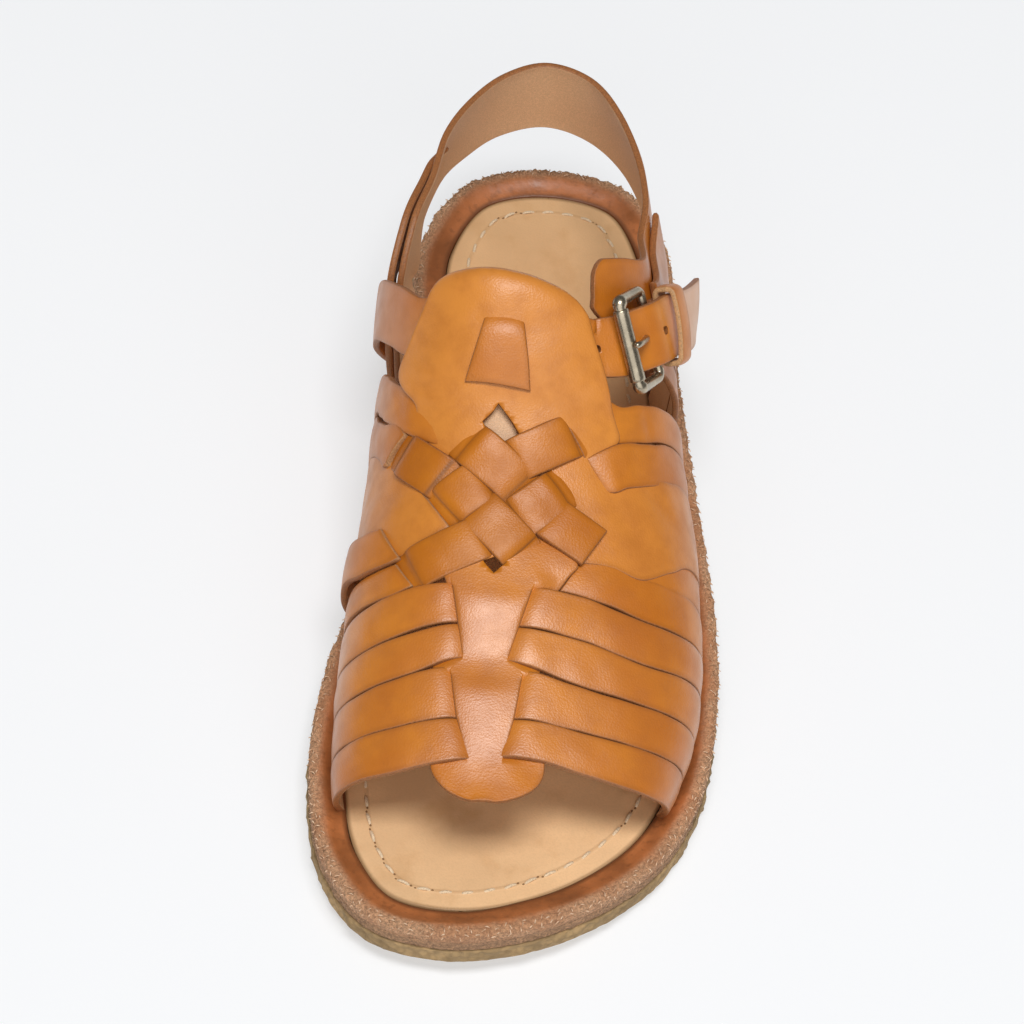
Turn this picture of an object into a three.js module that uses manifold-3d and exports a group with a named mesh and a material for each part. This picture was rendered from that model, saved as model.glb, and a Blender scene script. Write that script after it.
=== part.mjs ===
// Woven leather roman sandal, left shoe, standing empty on its sole.
// Millimetres, +Z up, toe towards -Y, outer side of the foot towards +X.
// Stations run from the back of the heel (0) to the toe. Girths run over the last from its ridge,
// negative towards the inner side and positive towards the outer side of the foot.

import * as THREE from "three";
import { mergeVertices } from "three/addons/utils/BufferGeometryUtils.js";
import Module from "manifold-3d";

// Sole sizes
const HEEL_LIFT_HEIGHT = 7;
const HEEL_BREAST_STATION = 76;
const SHANK_END_STATION = 160;
const TOE_SPRING = 7;
const TOE_SPRING_START = 208;
const SHOE_LENGTH = 280;
const OUTSOLE_THICKNESS = 6.5;
const MIDSOLE_THICKNESS = 4;
const INSOLE_THICKNESS = 2.5;
const LAYER_GAP = 0.3;
const MIDSOLE_INSET = 0.4;
const EDGE_BEVEL = 0.6;
const FEATHER_MARGIN = 10.3;
const FOOTBED_RISE = OUTSOLE_THICKNESS + MIDSOLE_THICKNESS + INSOLE_THICKNESS;

// Outline of the sole seen from above, from the heel round the outer side to the toe and back
const SOLE_OUTLINE = [
  { x: 1, station: 0 },
  { x: 27, station: 7 },
  { x: 39.5, station: 29 },
  { x: 44.5, station: 80 },
  { x: 50.5, station: 118 },
  { x: 57, station: 158 },
  { x: 58.8, station: 192 },
  { x: 54.5, station: 225 },
  { x: 42, station: 250 },
  { x: 18, station: 270 },
  { x: -12, station: 280 },
  { x: -38, station: 275 },
  { x: -52.5, station: 256 },
  { x: -58.8, station: 224 },
  { x: -56.5, station: 190 },
  { x: -46, station: 150 },
  { x: -39.5, station: 112 },
  { x: -38.8, station: 72 },
  { x: -38.5, station: 34 },
  { x: -25, station: 8 },
];
const OUTLINE_STEPS = 36;

// Section of the rand: distance in from the sole's edge and rise over the midsole
const RAND_PROFILE = [
  { inset: 0.5, rise: 0 },
  { inset: 0.9, rise: 4.3 },
  { inset: 2.2, rise: 5 },
  { inset: 4.6, rise: 4.9 },
  { inset: 6.6, rise: 4.1 },
  { inset: 9.9, rise: 2.2 },
  { inset: 9.9, rise: 0 },
];

// Sections of the last: half widths at the widest level, ridge, height over the footbed
const LAST_SECTIONS = [
  { station: 60, medial: 43.5, lateral: 36, ridge: -12, height: 117, squareness: 2 },
  { station: 85, medial: 44.5, lateral: 37.6, ridge: -12, height: 101, squareness: 2 },
  { station: 111, medial: 45, lateral: 40.4, ridge: -12, height: 83, squareness: 1.95 },
  { station: 130, medial: 46, lateral: 42.8, ridge: -12, height: 71, squareness: 2 },
  { station: 150, medial: 46.8, lateral: 46.4, ridge: -11.5, height: 60.5, squareness: 2.05 },
  { station: 172, medial: 48.6, lateral: 49.3, ridge: -11, height: 51.5, squareness: 2.15 },
  { station: 195, medial: 49.7, lateral: 50.3, ridge: -10, height: 44.5, squareness: 2.25 },
  { station: 218, medial: 50, lateral: 47.8, ridge: -9.5, height: 38.5, squareness: 2.3 },
  { station: 245, medial: 47.5, lateral: 38, ridge: -9, height: 31.5, squareness: 2.3 },
  { station: 262, medial: 38, lateral: 24, ridge: -9, height: 26, squareness: 2.3 },
];
const WIDEST_LEVEL = 0.3;
const LAST_UPPER_STEPS = 36;
const LAST_LOWER_STEPS = 8;
const FOOT_EXTENSION = 12;

// Leather
const STRAP_THICKNESS = 2;
const STRAP_STEP = 6.5;
const WEAVE_WIDTH = 12.4;
const ANKLE_STRAP_WIDTH = 18.6;

// Straps that cross the foot: edges as stations at each girth, lift of the middle of the leather
const CROSS_STRAPS = {
  frontStrapForeHalf: [
    { girth: -70, front: 235, back: 228.5, lift: 1 },
    { girth: -56, front: 239.5, back: 229.5, lift: 1 },
    { girth: -44, front: 242, back: 230.3, lift: 1 },
    { girth: -26, front: 242.5, back: 229.5, lift: 1.4 },
    { girth: -12, front: 240.5, back: 228, lift: 1.8 },
    { girth: 0, front: 238.5, back: 227.3, lift: 1.2 },
    { girth: 12, front: 238, back: 227, lift: 1.8 },
    { girth: 30, front: 240, back: 228.3, lift: 1.4 },
    { girth: 44, front: 240, back: 228.3, lift: 1 },
    { girth: 57, front: 237.5, back: 227, lift: 1 },
    { girth: 78, front: 231, back: 223.3, lift: 1 },
  ],
  frontStrapRearHalf: [
    { girth: -72, front: 228, back: 215.5, lift: 1 },
    { girth: -56, front: 229, back: 216.5, lift: 1 },
    { girth: -42, front: 229.7, back: 216.8, lift: 1 },
    { girth: -24, front: 229, back: 215.9, lift: 1.4 },
    { girth: -12, front: 227.5, back: 216.5, lift: 1.8 },
    { girth: 0, front: 226.8, back: 215, lift: 1.2 },
    { girth: 12, front: 226.5, back: 215, lift: 1.8 },
    { girth: 30, front: 227.8, back: 215.9, lift: 1.4 },
    { girth: 46, front: 227.8, back: 216.2, lift: 1 },
    { girth: 60, front: 226, back: 215.2, lift: 1 },
    { girth: 84, front: 222.7, back: 213.2, lift: 1 },
  ],
  secondStrapForeHalf: [
    { girth: -74, front: 214.8, back: 203.6, lift: 1 },
    { girth: -56, front: 216, back: 204.3, lift: 1 },
    { girth: -40, front: 216.2, back: 204.4, lift: 1 },
    { girth: -22, front: 213.8, back: 202.4, lift: 1.4 },
    { girth: -10, front: 210.5, back: 200.4, lift: 1.8 },
    { girth: 0, front: 209.5, back: 199.8, lift: 1.2 },
    { girth: 10, front: 211, back: 200.5, lift: 1.8 },
    { girth: 26, front: 214.2, back: 202, lift: 1.4 },
    { girth: 44, front: 215.4, back: 204.6, lift: 1 },
    { girth: 66, front: 214.2, back: 202, lift: 1 },
    { girth: 92, front: 212.4, back: 199.8, lift: 1 },
  ],
  secondStrapRearHalf: [
    { girth: -78, front: 203, back: 190, lift: 1 },
    { girth: -56, front: 203.7, back: 190.6, lift: 1 },
    { girth: -40, front: 203.8, back: 190.3, lift: 1 },
    { girth: -24, front: 201.8, back: 189, lift: 1.4 },
    { girth: -12, front: 199.8, back: 188.3, lift: 1.8 },
    { girth: 0, front: 199.2, back: 187.8, lift: 1.2 },
    { girth: 12, front: 199.9, back: 188.3, lift: 1.8 },
    { girth: 26, front: 201.4, back: 189.3, lift: 1.4 },
    { girth: 44, front: 204, back: 191.9, lift: 1 },
    { girth: 66, front: 201.4, back: 190.4, lift: 1 },
    { girth: 96, front: 199.2, back: 187.4, lift: 1 },
  ],
  outerSideStrip: [
    { girth: 21, front: 188.2, back: 179.8, lift: 1 },
    { girth: 34, front: 189.9, back: 177.6, lift: 1 },
    { girth: 46, front: 191.3, back: 178, lift: 1 },
    { girth: 66, front: 189.8, back: 176.6, lift: 1 },
    { girth: 98, front: 186.8, back: 174.6, lift: 1 },
  ],
  outerPanelFoot: [
    { girth: 44, front: 180.4, back: 172, lift: 0.8 },
    { girth: 54, front: 179.2, back: 168, lift: 0.8 },
    { girth: 66, front: 177, back: 164, lift: 0.8 },
    { girth: 100, front: 174, back: 160, lift: 0.8 },
  ],
  outerPanel: [
    { girth: 14, front: 176, back: 152, lift: 0.7 },
    { girth: 24, front: 179, back: 147, lift: 0.8 },
    { girth: 34, front: 178.6, back: 147, lift: 1 },
    { girth: 44, front: 179.6, back: 148, lift: 1.3 },
    { girth: 54, front: 173.4, back: 146, lift: 1.5 },
    { girth: 66, front: 167, back: 142.5, lift: 1.4 },
    { girth: 102, front: 163.4, back: 138, lift: 1 },
  ],
  outerFrontSideStrap: [
    { girth: 27, front: 157, back: 147.5, lift: 1.4 },
    { girth: 36, front: 155.5, back: 142.8, lift: 2.1 },
    { girth: 45, front: 151.5, back: 139.5, lift: 1.8 },
    { girth: 60, front: 144.7, back: 133.5, lift: 1.3 },
    { girth: 84, front: 139, back: 128.5, lift: 1 },
    { girth: 110, front: 136.8, back: 126, lift: 1 },
  ],
  outerRearSideStrap: [
    { girth: 26, front: 143, back: 131, lift: 1.1 },
    { girth: 36, front: 142.8, back: 132.8, lift: 1.2 },
    { girth: 45, front: 139.3, back: 129, lift: 1.1 },
    { girth: 59, front: 133.6, back: 124.3, lift: 1 },
    { girth: 86, front: 128, back: 119, lift: 1 },
    { girth: 114, front: 125.4, back: 116.6, lift: 1 },
  ],
  innerFrontStrip: [
    { girth: -82, front: 187, back: 177, lift: 1 },
    { girth: -52, front: 188.4, back: 178, lift: 1 },
    { girth: -36, front: 189.5, back: 180, lift: 1.2 },
    { girth: -24, front: 189, back: 180.4, lift: 1.6 },
  ],
  innerLoop: [
    { girth: -84, front: 175.6, back: 163.6, lift: 1 },
    { girth: -62, front: 176, back: 164, lift: 3 },
    { girth: -50, front: 176.8, back: 164.4, lift: 3.6 },
    { girth: -38, front: 179.8, back: 166.8, lift: 3 },
    { girth: -29, front: 179.8, back: 168, lift: 2.2 },
  ],
  innerPanel: [
    { girth: -90, front: 166, back: 130, lift: 1 },
    { girth: -58, front: 168, back: 133, lift: 1 },
    { girth: -44, front: 174, back: 140.5, lift: 1 },
    { girth: -33, front: 177.5, back: 147.5, lift: 1 },
    { girth: -24, front: 178, back: 156, lift: 1.2 },
    { girth: -15, front: 173, back: 162, lift: 1.6 },
  ],
  innerFrontSideStrap: [
    { girth: -98, front: 130, back: 118.6, lift: 1 },
    { girth: -62, front: 134.6, back: 122.6, lift: 1 },
    { girth: -49, front: 138.7, back: 129.3, lift: 1.2 },
    { girth: -40, front: 144.5, back: 134.6, lift: 1.6 },
    { girth: -30.8, front: 149, back: 141, lift: 2 },
  ],
  innerRearSideStrap: [
    { girth: -104, front: 117.6, back: 108, lift: 1 },
    { girth: -62, front: 121.8, back: 112.6, lift: 1 },
    { girth: -48, front: 129, back: 118.5, lift: 1.2 },
    { girth: -41.5, front: 133.2, back: 122.5, lift: 1.5 },
    { girth: -35.5, front: 137, back: 126.2, lift: 1.8 },
    { girth: -27, front: 142.6, back: 131, lift: 2 },
    { girth: -19, front: 147, back: 136.5, lift: 1.4 },
  ],
  centreWing: [
    { girth: -22, front: 219, back: 211, lift: 0.9 },
    { girth: 0, front: 219, back: 206, lift: 0.9 },
    { girth: 24, front: 219, back: 212, lift: 0.9 },
  ],
  centreArm: [
    { girth: -17, front: 191, back: 180, lift: 0.8 },
    { girth: -8, front: 192, back: 176, lift: 0.9 },
    { girth: 4, front: 191, back: 176, lift: 1.2 },
    { girth: 14, front: 190, back: 173, lift: 1.2 },
    { girth: 24, front: 187, back: 171, lift: 1.2 },
  ],
};

// Pieces that run along the foot: edges as girths at each station
const LONG_PIECES = {
  toeTab: [
    { station: 236, medial: -15, lateral: 16.5, lift: 0.9 },
    { station: 241, medial: -14.5, lateral: 16, lift: 0.9 },
    { station: 245, medial: -11.5, lateral: 13.5, lift: 1 },
    { station: 248, medial: -8.5, lateral: 9.5, lift: 1 },
    { station: 250.4, medial: -4, lateral: 4.5, lift: 1 },
  ],
  frontBridge: [
    { station: 212, medial: -12, lateral: 11, lift: 1.2 },
    { station: 216.5, medial: -12, lateral: 10, lift: 3.2 },
    { station: 227, medial: -8.4, lateral: 8, lift: 3.4 },
    { station: 237.5, medial: -4.6, lateral: 5.4, lift: 3.4 },
    { station: 242, medial: -6, lateral: 7, lift: 2.2 },
    { station: 246, medial: -8, lateral: 9, lift: 1.2 },
  ],
  secondBridge: [
    { station: 184, medial: -11, lateral: 13, lift: 1.8 },
    { station: 188.5, medial: -11, lateral: 12, lift: 3.2 },
    { station: 200, medial: -9, lateral: 8, lift: 3.4 },
    { station: 209.5, medial: -7.2, lateral: 4.8, lift: 3.2 },
    { station: 214, medial: -11, lateral: 9, lift: 1.2 },
  ],
};

// Woven strips: middle line over the last, with the lift of the leather over and under its neighbours
const WOVEN_STRIPS = {
  innerDownStrip: [
    { station: 143.5, girth: -32.5, lift: 1 },
    { station: 152.5, girth: -22, lift: 2.8 },
    { station: 162.5, girth: -9.7, lift: 1 },
    { station: 172.5, girth: 1.5, lift: 2.8 },
    { station: 181, girth: 10.6, lift: 1 },
  ],
  outerDownStrip: [
    { station: 147, girth: -10.3, lift: 1 },
    { station: 155.3, girth: 0.5, lift: 2.8 },
    { station: 164.5, girth: 12, lift: 1 },
    { station: 171.5, girth: 22.5, lift: 2.9 },
    { station: 174.5, girth: 28.5, lift: 2.9 },
  ],
  rearCrossStrip: [
    { station: 142.6, girth: 25, lift: 1 },
    { station: 149.8, girth: 12.4, lift: 2.8 },
    { station: 156.5, girth: 1, lift: 1 },
    { station: 163.2, girth: -9, lift: 2.8 },
    { station: 169.5, girth: -18, lift: 1 },
  ],
  frontCrossStrip: [
    { station: 157.6, girth: 21.4, lift: 1 },
    { station: 165.2, girth: 12, lift: 2.8 },
    { station: 172.3, girth: 1.8, lift: 1 },
    { station: 179.5, girth: -12, lift: 2.8 },
    { station: 186, girth: -27, lift: 1.2 },
  ],
};

// Openings of the weave: corners on the last
const WEAVE_HOLES = {
  lightHole: [
    { station: 144, girth: -4 },
    { station: 139.5, girth: 0 },
    { station: 146.5, girth: 6 },
    { station: 149.5, girth: 2 },
  ],
  darkHole: [
    { station: 182, girth: -2.5 },
    { station: 180.5, girth: 1 },
    { station: 182, girth: 4 },
    { station: 185.5, girth: 0.5 },
  ],
};
const HOLE_DEPTH = 12;

// Tongue: from its end behind the ankle strap over the fold and down to the weave
const TONGUE = [
  { station: 128, medial: -20, lateral: 20, slant: 0.12, lift: -1.35 },
  { station: 116, medial: -22.5, lateral: 22.5, slant: 0.12, lift: -1.35 },
  { station: 112.2, medial: -21, lateral: 21.5, slant: 0.12, lift: -1.05 },
  { station: 109.2, medial: -16, lateral: 15.5, slant: 0.12, lift: 1.3 },
  { station: 112.2, medial: -21.8, lateral: 23.3, slant: 0.12, lift: 3.6 },
  { station: 116, medial: -24, lateral: 25, slant: 0.11, lift: 4 },
  { station: 122, medial: -28.5, lateral: 28, slant: 0.08, lift: 4 },
  { station: 128, medial: -31.5, lateral: 30.5, slant: 0.05, lift: 4 },
  { station: 134, medial: -29, lateral: 32.4, slant: 0, lift: 3.1 },
  { station: 140, medial: -27, lateral: 35, slant: 0, lift: 1.9 },
  { station: 146, medial: -25, lateral: 33, slant: 0, lift: 1.3 },
  { station: 152, medial: -18, lateral: 27, slant: 0, lift: 1 },
];
const LOCKING_TAB = [
  { station: 119, medial: -4.6, lateral: 5.6, lift: 4.5 },
  { station: 121.5, medial: -5.2, lateral: 6, lift: 5.6 },
  { station: 128, medial: -6.8, lateral: 7.3, lift: 5.5 },
  { station: 135, medial: -8.7, lateral: 8.4, lift: 4.2 },
];

// Ankle strap: middle line over the last from the inner side of the sole to the free tail
const ANKLE_STRAP = [
  { station: 76, girth: -134, width: 18, lift: 4.8 },
  { station: 80, girth: -108, width: 18, lift: 4.9 },
  { station: 87, girth: -84, width: 18, lift: 4 },
  { station: 95, girth: -64, width: 18, lift: 3.6 },
  { station: 106, girth: -44, width: 18, lift: 2.2 },
  { station: 115.6, girth: -28, width: 17.6, lift: 1.3 },
  { station: 119.7, girth: -10, width: 17.4, lift: 1.3 },
  { station: 122, girth: 10, width: 17, lift: 1.3 },
  { station: 121.9, girth: 25, width: 16.8, lift: 1.4 },
  { station: 120.4, girth: 30, width: 17.4, lift: 1.7 },
  { station: 117.8, girth: 36, width: 18.2, lift: 3 },
  { station: 113.8, girth: 42, width: 18.6, lift: 5 },
  { station: 110.2, girth: 47, width: 18.6, lift: 6.6 },
  { station: 105.2, girth: 54, width: 18.6, lift: 6.2 },
  { station: 99.4, girth: 64, width: 18.6, lift: 5.8 },
  { station: 89.6, girth: 80, width: 18.6, lift: 6.6 },
  { station: 77.8, girth: 97, width: 18.6, lift: 9 },
];
const TAIL_SLANT = 7;
const STRAP_HOLE_RADIUS = 1.3;
const STRAP_HOLE_GIRTHS = [27.5, 49];

// Heel strap behind the foot: lower and upper edge, from the tab behind the buckle round the heel
const HEEL_STRAP_TAB = [
  { lowStation: 113, lowGirth: 27, highStation: 100.4, highGirth: 26.8, lift: -1 },
  { lowStation: 113, lowGirth: 48, highStation: 95.2, highGirth: 39.5, lift: -2 },
  { lowStation: 103, lowGirth: 76, highStation: 88.5, highGirth: 53.5, lift: -2 },
];
const HEEL_STRAP_BACK = [
  { lowX: 36, lowStation: 82, lowZ: 52, highX: 27, highStation: 73, highZ: 79.5 },
  { lowX: 34, lowStation: 60, lowZ: 51, highX: 28.3, highStation: 59, highZ: 79 },
  { lowX: 30.6, lowStation: 42, lowZ: 51.5, highX: 25.8, highStation: 43.5, highZ: 79 },
  { lowX: 23.5, lowStation: 25.5, lowZ: 52, highX: 19.8, highStation: 26, highZ: 79 },
  { lowX: 12.4, lowStation: 13.5, lowZ: 52, highX: 10.4, highStation: 12.5, highZ: 79 },
  { lowX: -2, lowStation: 8.5, lowZ: 52, highX: -3, highStation: 7.5, highZ: 79 },
  { lowX: -16.4, lowStation: 13.5, lowZ: 52, highX: -15.4, highStation: 13, highZ: 79 },
  { lowX: -26.4, lowStation: 23, lowZ: 52, highX: -24.8, highStation: 23.5, highZ: 79 },
  { lowX: -34.1, lowStation: 34, lowZ: 51.5, highX: -32, highStation: 38, highZ: 79.5 },
  { lowX: -38.6, lowStation: 50, lowZ: 49, highX: -35.4, highStation: 56, highZ: 80 },
  { lowX: -38.8, lowStation: 61, lowZ: 43, highX: -40.1, highStation: 74, highZ: 79 },
];
const HEEL_STRAP_LEG = [
  { lowStation: 67, lowGirth: -104, highStation: 92, highGirth: -64, lift: -0.8 },
  { lowStation: 71, lowGirth: -120, highStation: 103, highGirth: -90, lift: 0.3 },
  { lowStation: 73, lowGirth: -138, highStation: 107, highGirth: -124, lift: 0.4 },
];

// Quarter: two strips from the sole to the buckle on the outer side, locked behind the heel strap
const QUARTER_STRIPS = {
  rearStrip: [
    { girth: 136, front: 103, back: 86, lift: 1 },
    { girth: 106, front: 103.4, back: 87, lift: 1 },
    { girth: 92, front: 104.2, back: 88, lift: 1 },
    { girth: 76, front: 105.4, back: 90, lift: 0.9 },
    { girth: 60, front: 107, back: 94, lift: 0.4 },
  ],
  frontStrip: [
    { girth: 136, front: 108.6, back: 103.6, lift: 1 },
    { girth: 106, front: 109.6, back: 104, lift: 1 },
    { girth: 92, front: 110.8, back: 104.8, lift: 1 },
    { girth: 76, front: 112.2, back: 106, lift: 0.9 },
    { girth: 60, front: 114, back: 107, lift: 0.4 },
  ],
  buckleEnd: [
    { girth: 72, front: 112.4, back: 91, lift: 0.7 },
    { girth: 60, front: 114.5, back: 95, lift: 0.4 },
    { girth: 52, front: 117.5, back: 99.5, lift: 0.4 },
  ],
};
const LOCK_STRIP = [
  { along: 1.8, low: 0.16, high: 0.78 },
  { along: 2.5, low: 0.16, high: 0.78 },
  { along: 3.2, low: 0.12, high: 0.82 },
  { along: 3.9, low: 0.08, high: 0.86 },
];
const LOCK_STRIP_LIFT = 2.45;

// Buckle and keeper on the ankle strap
const PIECE_GAP = 0.35;
const ROLLER_CLEARANCE = 1.1;
const HINGE_CLEARANCE = 0.9;
const ROLLER_GIRTH = 36;
const HINGE_BAR_GIRTH = 47;
const BUCKLE_WIDTH = 26;
const BUCKLE_CORNER = 2;
const BAR_RADIUS = 1.5;
const ROLLER_RADIUS = 2.3;
const ROLLER_LENGTH = 21.2;
const PRONG_RADIUS = 0.95;
const KEEPER_GIRTH = 55.2;
const KEEPER_WIDTH = 7;
const KEEPER_THICKNESS = 1.6;
const KEEPER_CORNER = 2;
const KEEPER_INNER_CORNER = 0.6;

// Prong between the hinge bar and the roller: along the strap and over the frame's plane
const PRONG_RISE = [
  { along: 3.4, over: -2.6 },
  { along: 2, over: -1.6 },
  { along: 1.2, over: 0.4 },
  { along: 0.2, over: 2.2 },
  { along: -1.8, over: 2.9 },
];
const HOOK_STEPS = 6;
const HOOK_START = Math.PI * 0.28;
const HOOK_TURN = Math.PI * 0.4;
const BAR_SIDES = 10;
const ROLLER_SIDES = 16;
const PRONG_SIDES = 8;
const CORNER_STEPS = 3;
const HOLE_SIDES = 10;

// How closely curves are read
const SEARCH_STEPS = 24;
const FEATHER_STEPS = 200;
const HEEL_STRAP_STEPS = 3;
const HEEL_STRAP_PROBE = 0.1;
const TONGUE_COLUMNS = 6;
const BRIDGE_COLUMNS = 4;
const MERGE_DISTANCE = 1e-4;

const shadeMaterial = (colour, roughness, metalness = 0) =>
  new THREE.MeshStandardMaterial({ color: colour, roughness, metalness });
const TAN_LEATHER = 0xc9792f;

const wasm = await Module();
wasm.setup();

// Points in the shoe's frame
function place(x, station, z) {
  return new THREE.Vector3(x, -station, z);
}

// Closed solid from points and triangles, with its faces pointing out
function closedGeometry(points, triangles) {
  const geometry = new THREE.BufferGeometry();
  const numbers = points.flatMap((p) => [p.x, p.y, p.z]);
  geometry.setAttribute("position", new THREE.Float32BufferAttribute(numbers, 3));
  let volume = 0;
  const cross = new THREE.Vector3();
  for (const [a, b, c] of triangles) {
    volume += points[a].dot(cross.crossVectors(points[b], points[c]));
  }
  const faces = volume > 0 ? triangles : triangles.map(([a, b, c]) => [a, c, b]);
  geometry.setIndex(faces.flat());
  return geometry;
}

function toManifold(geometry) {
  const bare = geometry.clone();
  bare.deleteAttribute("normal");
  bare.deleteAttribute("uv");
  const merged = mergeVertices(bare, MERGE_DISTANCE);
  return new wasm.Manifold(new wasm.Mesh({
    numProp: 3,
    vertProperties: new Float32Array(merged.attributes.position.array),
    triVerts: new Uint32Array(merged.index.array),
  }));
}

function fromManifold(solid) {
  const mesh = solid.getMesh();
  const geometry = new THREE.BufferGeometry();
  geometry.setAttribute("position", new THREE.BufferAttribute(new Float32Array(mesh.vertProperties), 3));
  geometry.setIndex(new THREE.BufferAttribute(new Uint32Array(mesh.triVerts), 1));
  return geometry;
}

// Outer skin of a joined solid, with the small pockets between its strips closed up
function outerSkin(geometry) {
  const index = geometry.index.array;
  const position = geometry.attributes.position;
  const parent = Array.from({ length: position.count }, (_, i) => i);
  const root = (i) => {
    while (parent[i] !== i) {
      parent[i] = parent[parent[i]];
      i = parent[i];
    }
    return i;
  };
  for (let t = 0; t < index.length; t += 3) {
    parent[root(index[t])] = root(index[t + 1]);
    parent[root(index[t + 1])] = root(index[t + 2]);
  }
  const volumes = new Map();
  const [a, b, c] = [0, 1, 2].map(() => new THREE.Vector3());
  for (let t = 0; t < index.length; t += 3) {
    a.fromBufferAttribute(position, index[t]);
    b.fromBufferAttribute(position, index[t + 1]);
    c.fromBufferAttribute(position, index[t + 2]);
    const skin = root(index[t]);
    volumes.set(skin, (volumes.get(skin) ?? 0) + a.dot(b.cross(c)) / 6);
  }
  const [largest] = [...volumes.entries()].reduce((best, entry) => (entry[1] > best[1] ? entry : best));
  const kept = [];
  for (let t = 0; t < index.length; t += 3) {
    if (root(index[t]) === largest) kept.push(index[t], index[t + 1], index[t + 2]);
  }
  const skinned = geometry.clone();
  skinned.setIndex(kept);
  return mergeVertices(skinned.toNonIndexed(), MERGE_DISTANCE);
}

function union(geometries) {
  return geometries.map(toManifold).reduce((sum, solid) => sum.add(solid));
}

// Smooth curve through the rows of a table, one value for each named column
function readRow(rows, position) {
  const last = rows.length - 1;
  const i = Math.min(Math.max(Math.floor(position), 0), last - 1);
  const t = position - i;
  const around = [rows[Math.max(i - 1, 0)], rows[i], rows[i + 1], rows[Math.min(i + 2, last)]];
  const values = {};
  for (const column of Object.keys(rows[0])) {
    const [p0, p1, p2, p3] = around.map((row) => row[column]);
    const startSlope = (p2 - p0) / 2;
    const endSlope = (p3 - p1) / 2;
    const cubic = 2 * (p1 - p2) + startSlope + endSlope;
    const square = 3 * (p2 - p1) - 2 * startSlope - endSlope;
    values[column] = ((cubic * t + square) * t + startSlope) * t + p1;
  }
  return values;
}

// Row position at which a rising column has the given value
function rowPosition(rows, column, value) {
  const last = rows.length - 1;
  let i = 0;
  while (i < last - 1 && rows[i + 1][column] <= value) i += 1;
  let low = i;
  let high = i + 1;
  for (let step = 0; step < SEARCH_STEPS; step += 1) {
    const middle = (low + high) / 2;
    if (readRow(rows, middle)[column] < value) low = middle;
    else high = middle;
  }
  return (low + high) / 2;
}

// Sole
function smoothStep(t) {
  const c = Math.min(Math.max(t, 0), 1);
  return c * c * (3 - 2 * c);
}

function soleBase(station) {
  const shank = (station - HEEL_BREAST_STATION) / (SHANK_END_STATION - HEEL_BREAST_STATION);
  const toe = Math.max(0, (station - TOE_SPRING_START) / (SHOE_LENGTH - TOE_SPRING_START));
  return HEEL_LIFT_HEIGHT * (1 - smoothStep(shank)) + TOE_SPRING * toe * toe;
}

const outlineCurve = new THREE.CatmullRomCurve3(
  SOLE_OUTLINE.map((row) => new THREE.Vector3(row.x, row.station, 0)), true, "centripetal");

// Loop of the outline moved in from the edge: outer side from heel to toe, then inner side back
function outlineLoop(inset, steps = OUTLINE_STEPS) {
  const loop = [];
  for (let k = 0; k < 2 * steps; k += 1) {
    const point = outlineCurve.getPoint(k / (2 * steps));
    const tangent = outlineCurve.getTangent(k / (2 * steps));
    loop.push({ x: point.x - tangent.y * inset, station: point.y + tangent.x * inset });
  }
  return loop;
}

function ringPoints(ring) {
  return outlineLoop(ring.inset).map((p) => place(p.x, p.station, ring.height(p.station)));
}

function joinRings(triangles, first, second, count) {
  for (let k = 0; k < count; k += 1) {
    const next = (k + 1) % count;
    triangles.push([first + k, first + next, second + next], [first + k, second + next, second + k]);
  }
}

// Layer of the sole: rings from below to above, closed across the foot at both ends
function soleLayer(rings) {
  const count = 2 * OUTLINE_STEPS;
  const points = rings.flatMap(ringPoints);
  const triangles = [];
  for (let r = 0; r + 1 < rings.length; r += 1) joinRings(triangles, r * count, (r + 1) * count, count);
  const closeAcross = (start, flip) => {
    for (let k = 0; k < OUTLINE_STEPS; k += 1) {
      const outer = start + k;
      const outerNext = start + k + 1;
      const inner = start + ((count - k) % count);
      const innerNext = start + count - k - 1;
      const quad = [[outer, outerNext, innerNext], [outer, innerNext, inner]];
      for (const [a, b, c] of quad) {
        if (a !== b && b !== c && a !== c) triangles.push(flip ? [a, c, b] : [a, b, c]);
      }
    }
  };
  closeAcross(0, true);
  closeAcross((rings.length - 1) * count, false);
  return closedGeometry(points, triangles);
}

// Band of the sole: a closed profile carried round the outline
function soleBand(profile) {
  const count = 2 * OUTLINE_STEPS;
  const points = profile.flatMap(ringPoints);
  const triangles = [];
  for (let r = 0; r < profile.length; r += 1) {
    joinRings(triangles, r * count, ((r + 1) % profile.length) * count, count);
  }
  return closedGeometry(points, triangles);
}

const above = (rise) => (station) => soleBase(station) + rise;
const midsoleTop = OUTSOLE_THICKNESS + MIDSOLE_THICKNESS;

const outsole = soleLayer([
  { inset: EDGE_BEVEL, height: above(0) },
  { inset: 0, height: above(EDGE_BEVEL) },
  { inset: 0, height: above(OUTSOLE_THICKNESS - LAYER_GAP) },
]);
const midsole = soleLayer([
  { inset: MIDSOLE_INSET, height: above(OUTSOLE_THICKNESS) },
  { inset: MIDSOLE_INSET, height: above(midsoleTop - LAYER_GAP) },
]);
const insole = soleLayer([
  { inset: FEATHER_MARGIN, height: above(midsoleTop) },
  { inset: FEATHER_MARGIN, height: above(FOOTBED_RISE) },
]);
const rand = soleBand(RAND_PROFILE.map((row) => (
  { inset: row.inset, height: above(midsoleTop + row.rise) })));

const liftSlab = soleLayer([
  { inset: EDGE_BEVEL, height: () => 0 },
  { inset: 0, height: () => EDGE_BEVEL },
  { inset: 0, height: (station) => Math.max(soleBase(station) - LAYER_GAP, 2 * EDGE_BEVEL) },
]);
const liftReach = HEEL_BREAST_STATION * 2;
const liftBlock = new THREE.BoxGeometry(liftReach, liftReach, liftReach);
const heelLift = fromManifold(toManifold(liftSlab).intersect(toManifold(liftBlock)));

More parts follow.
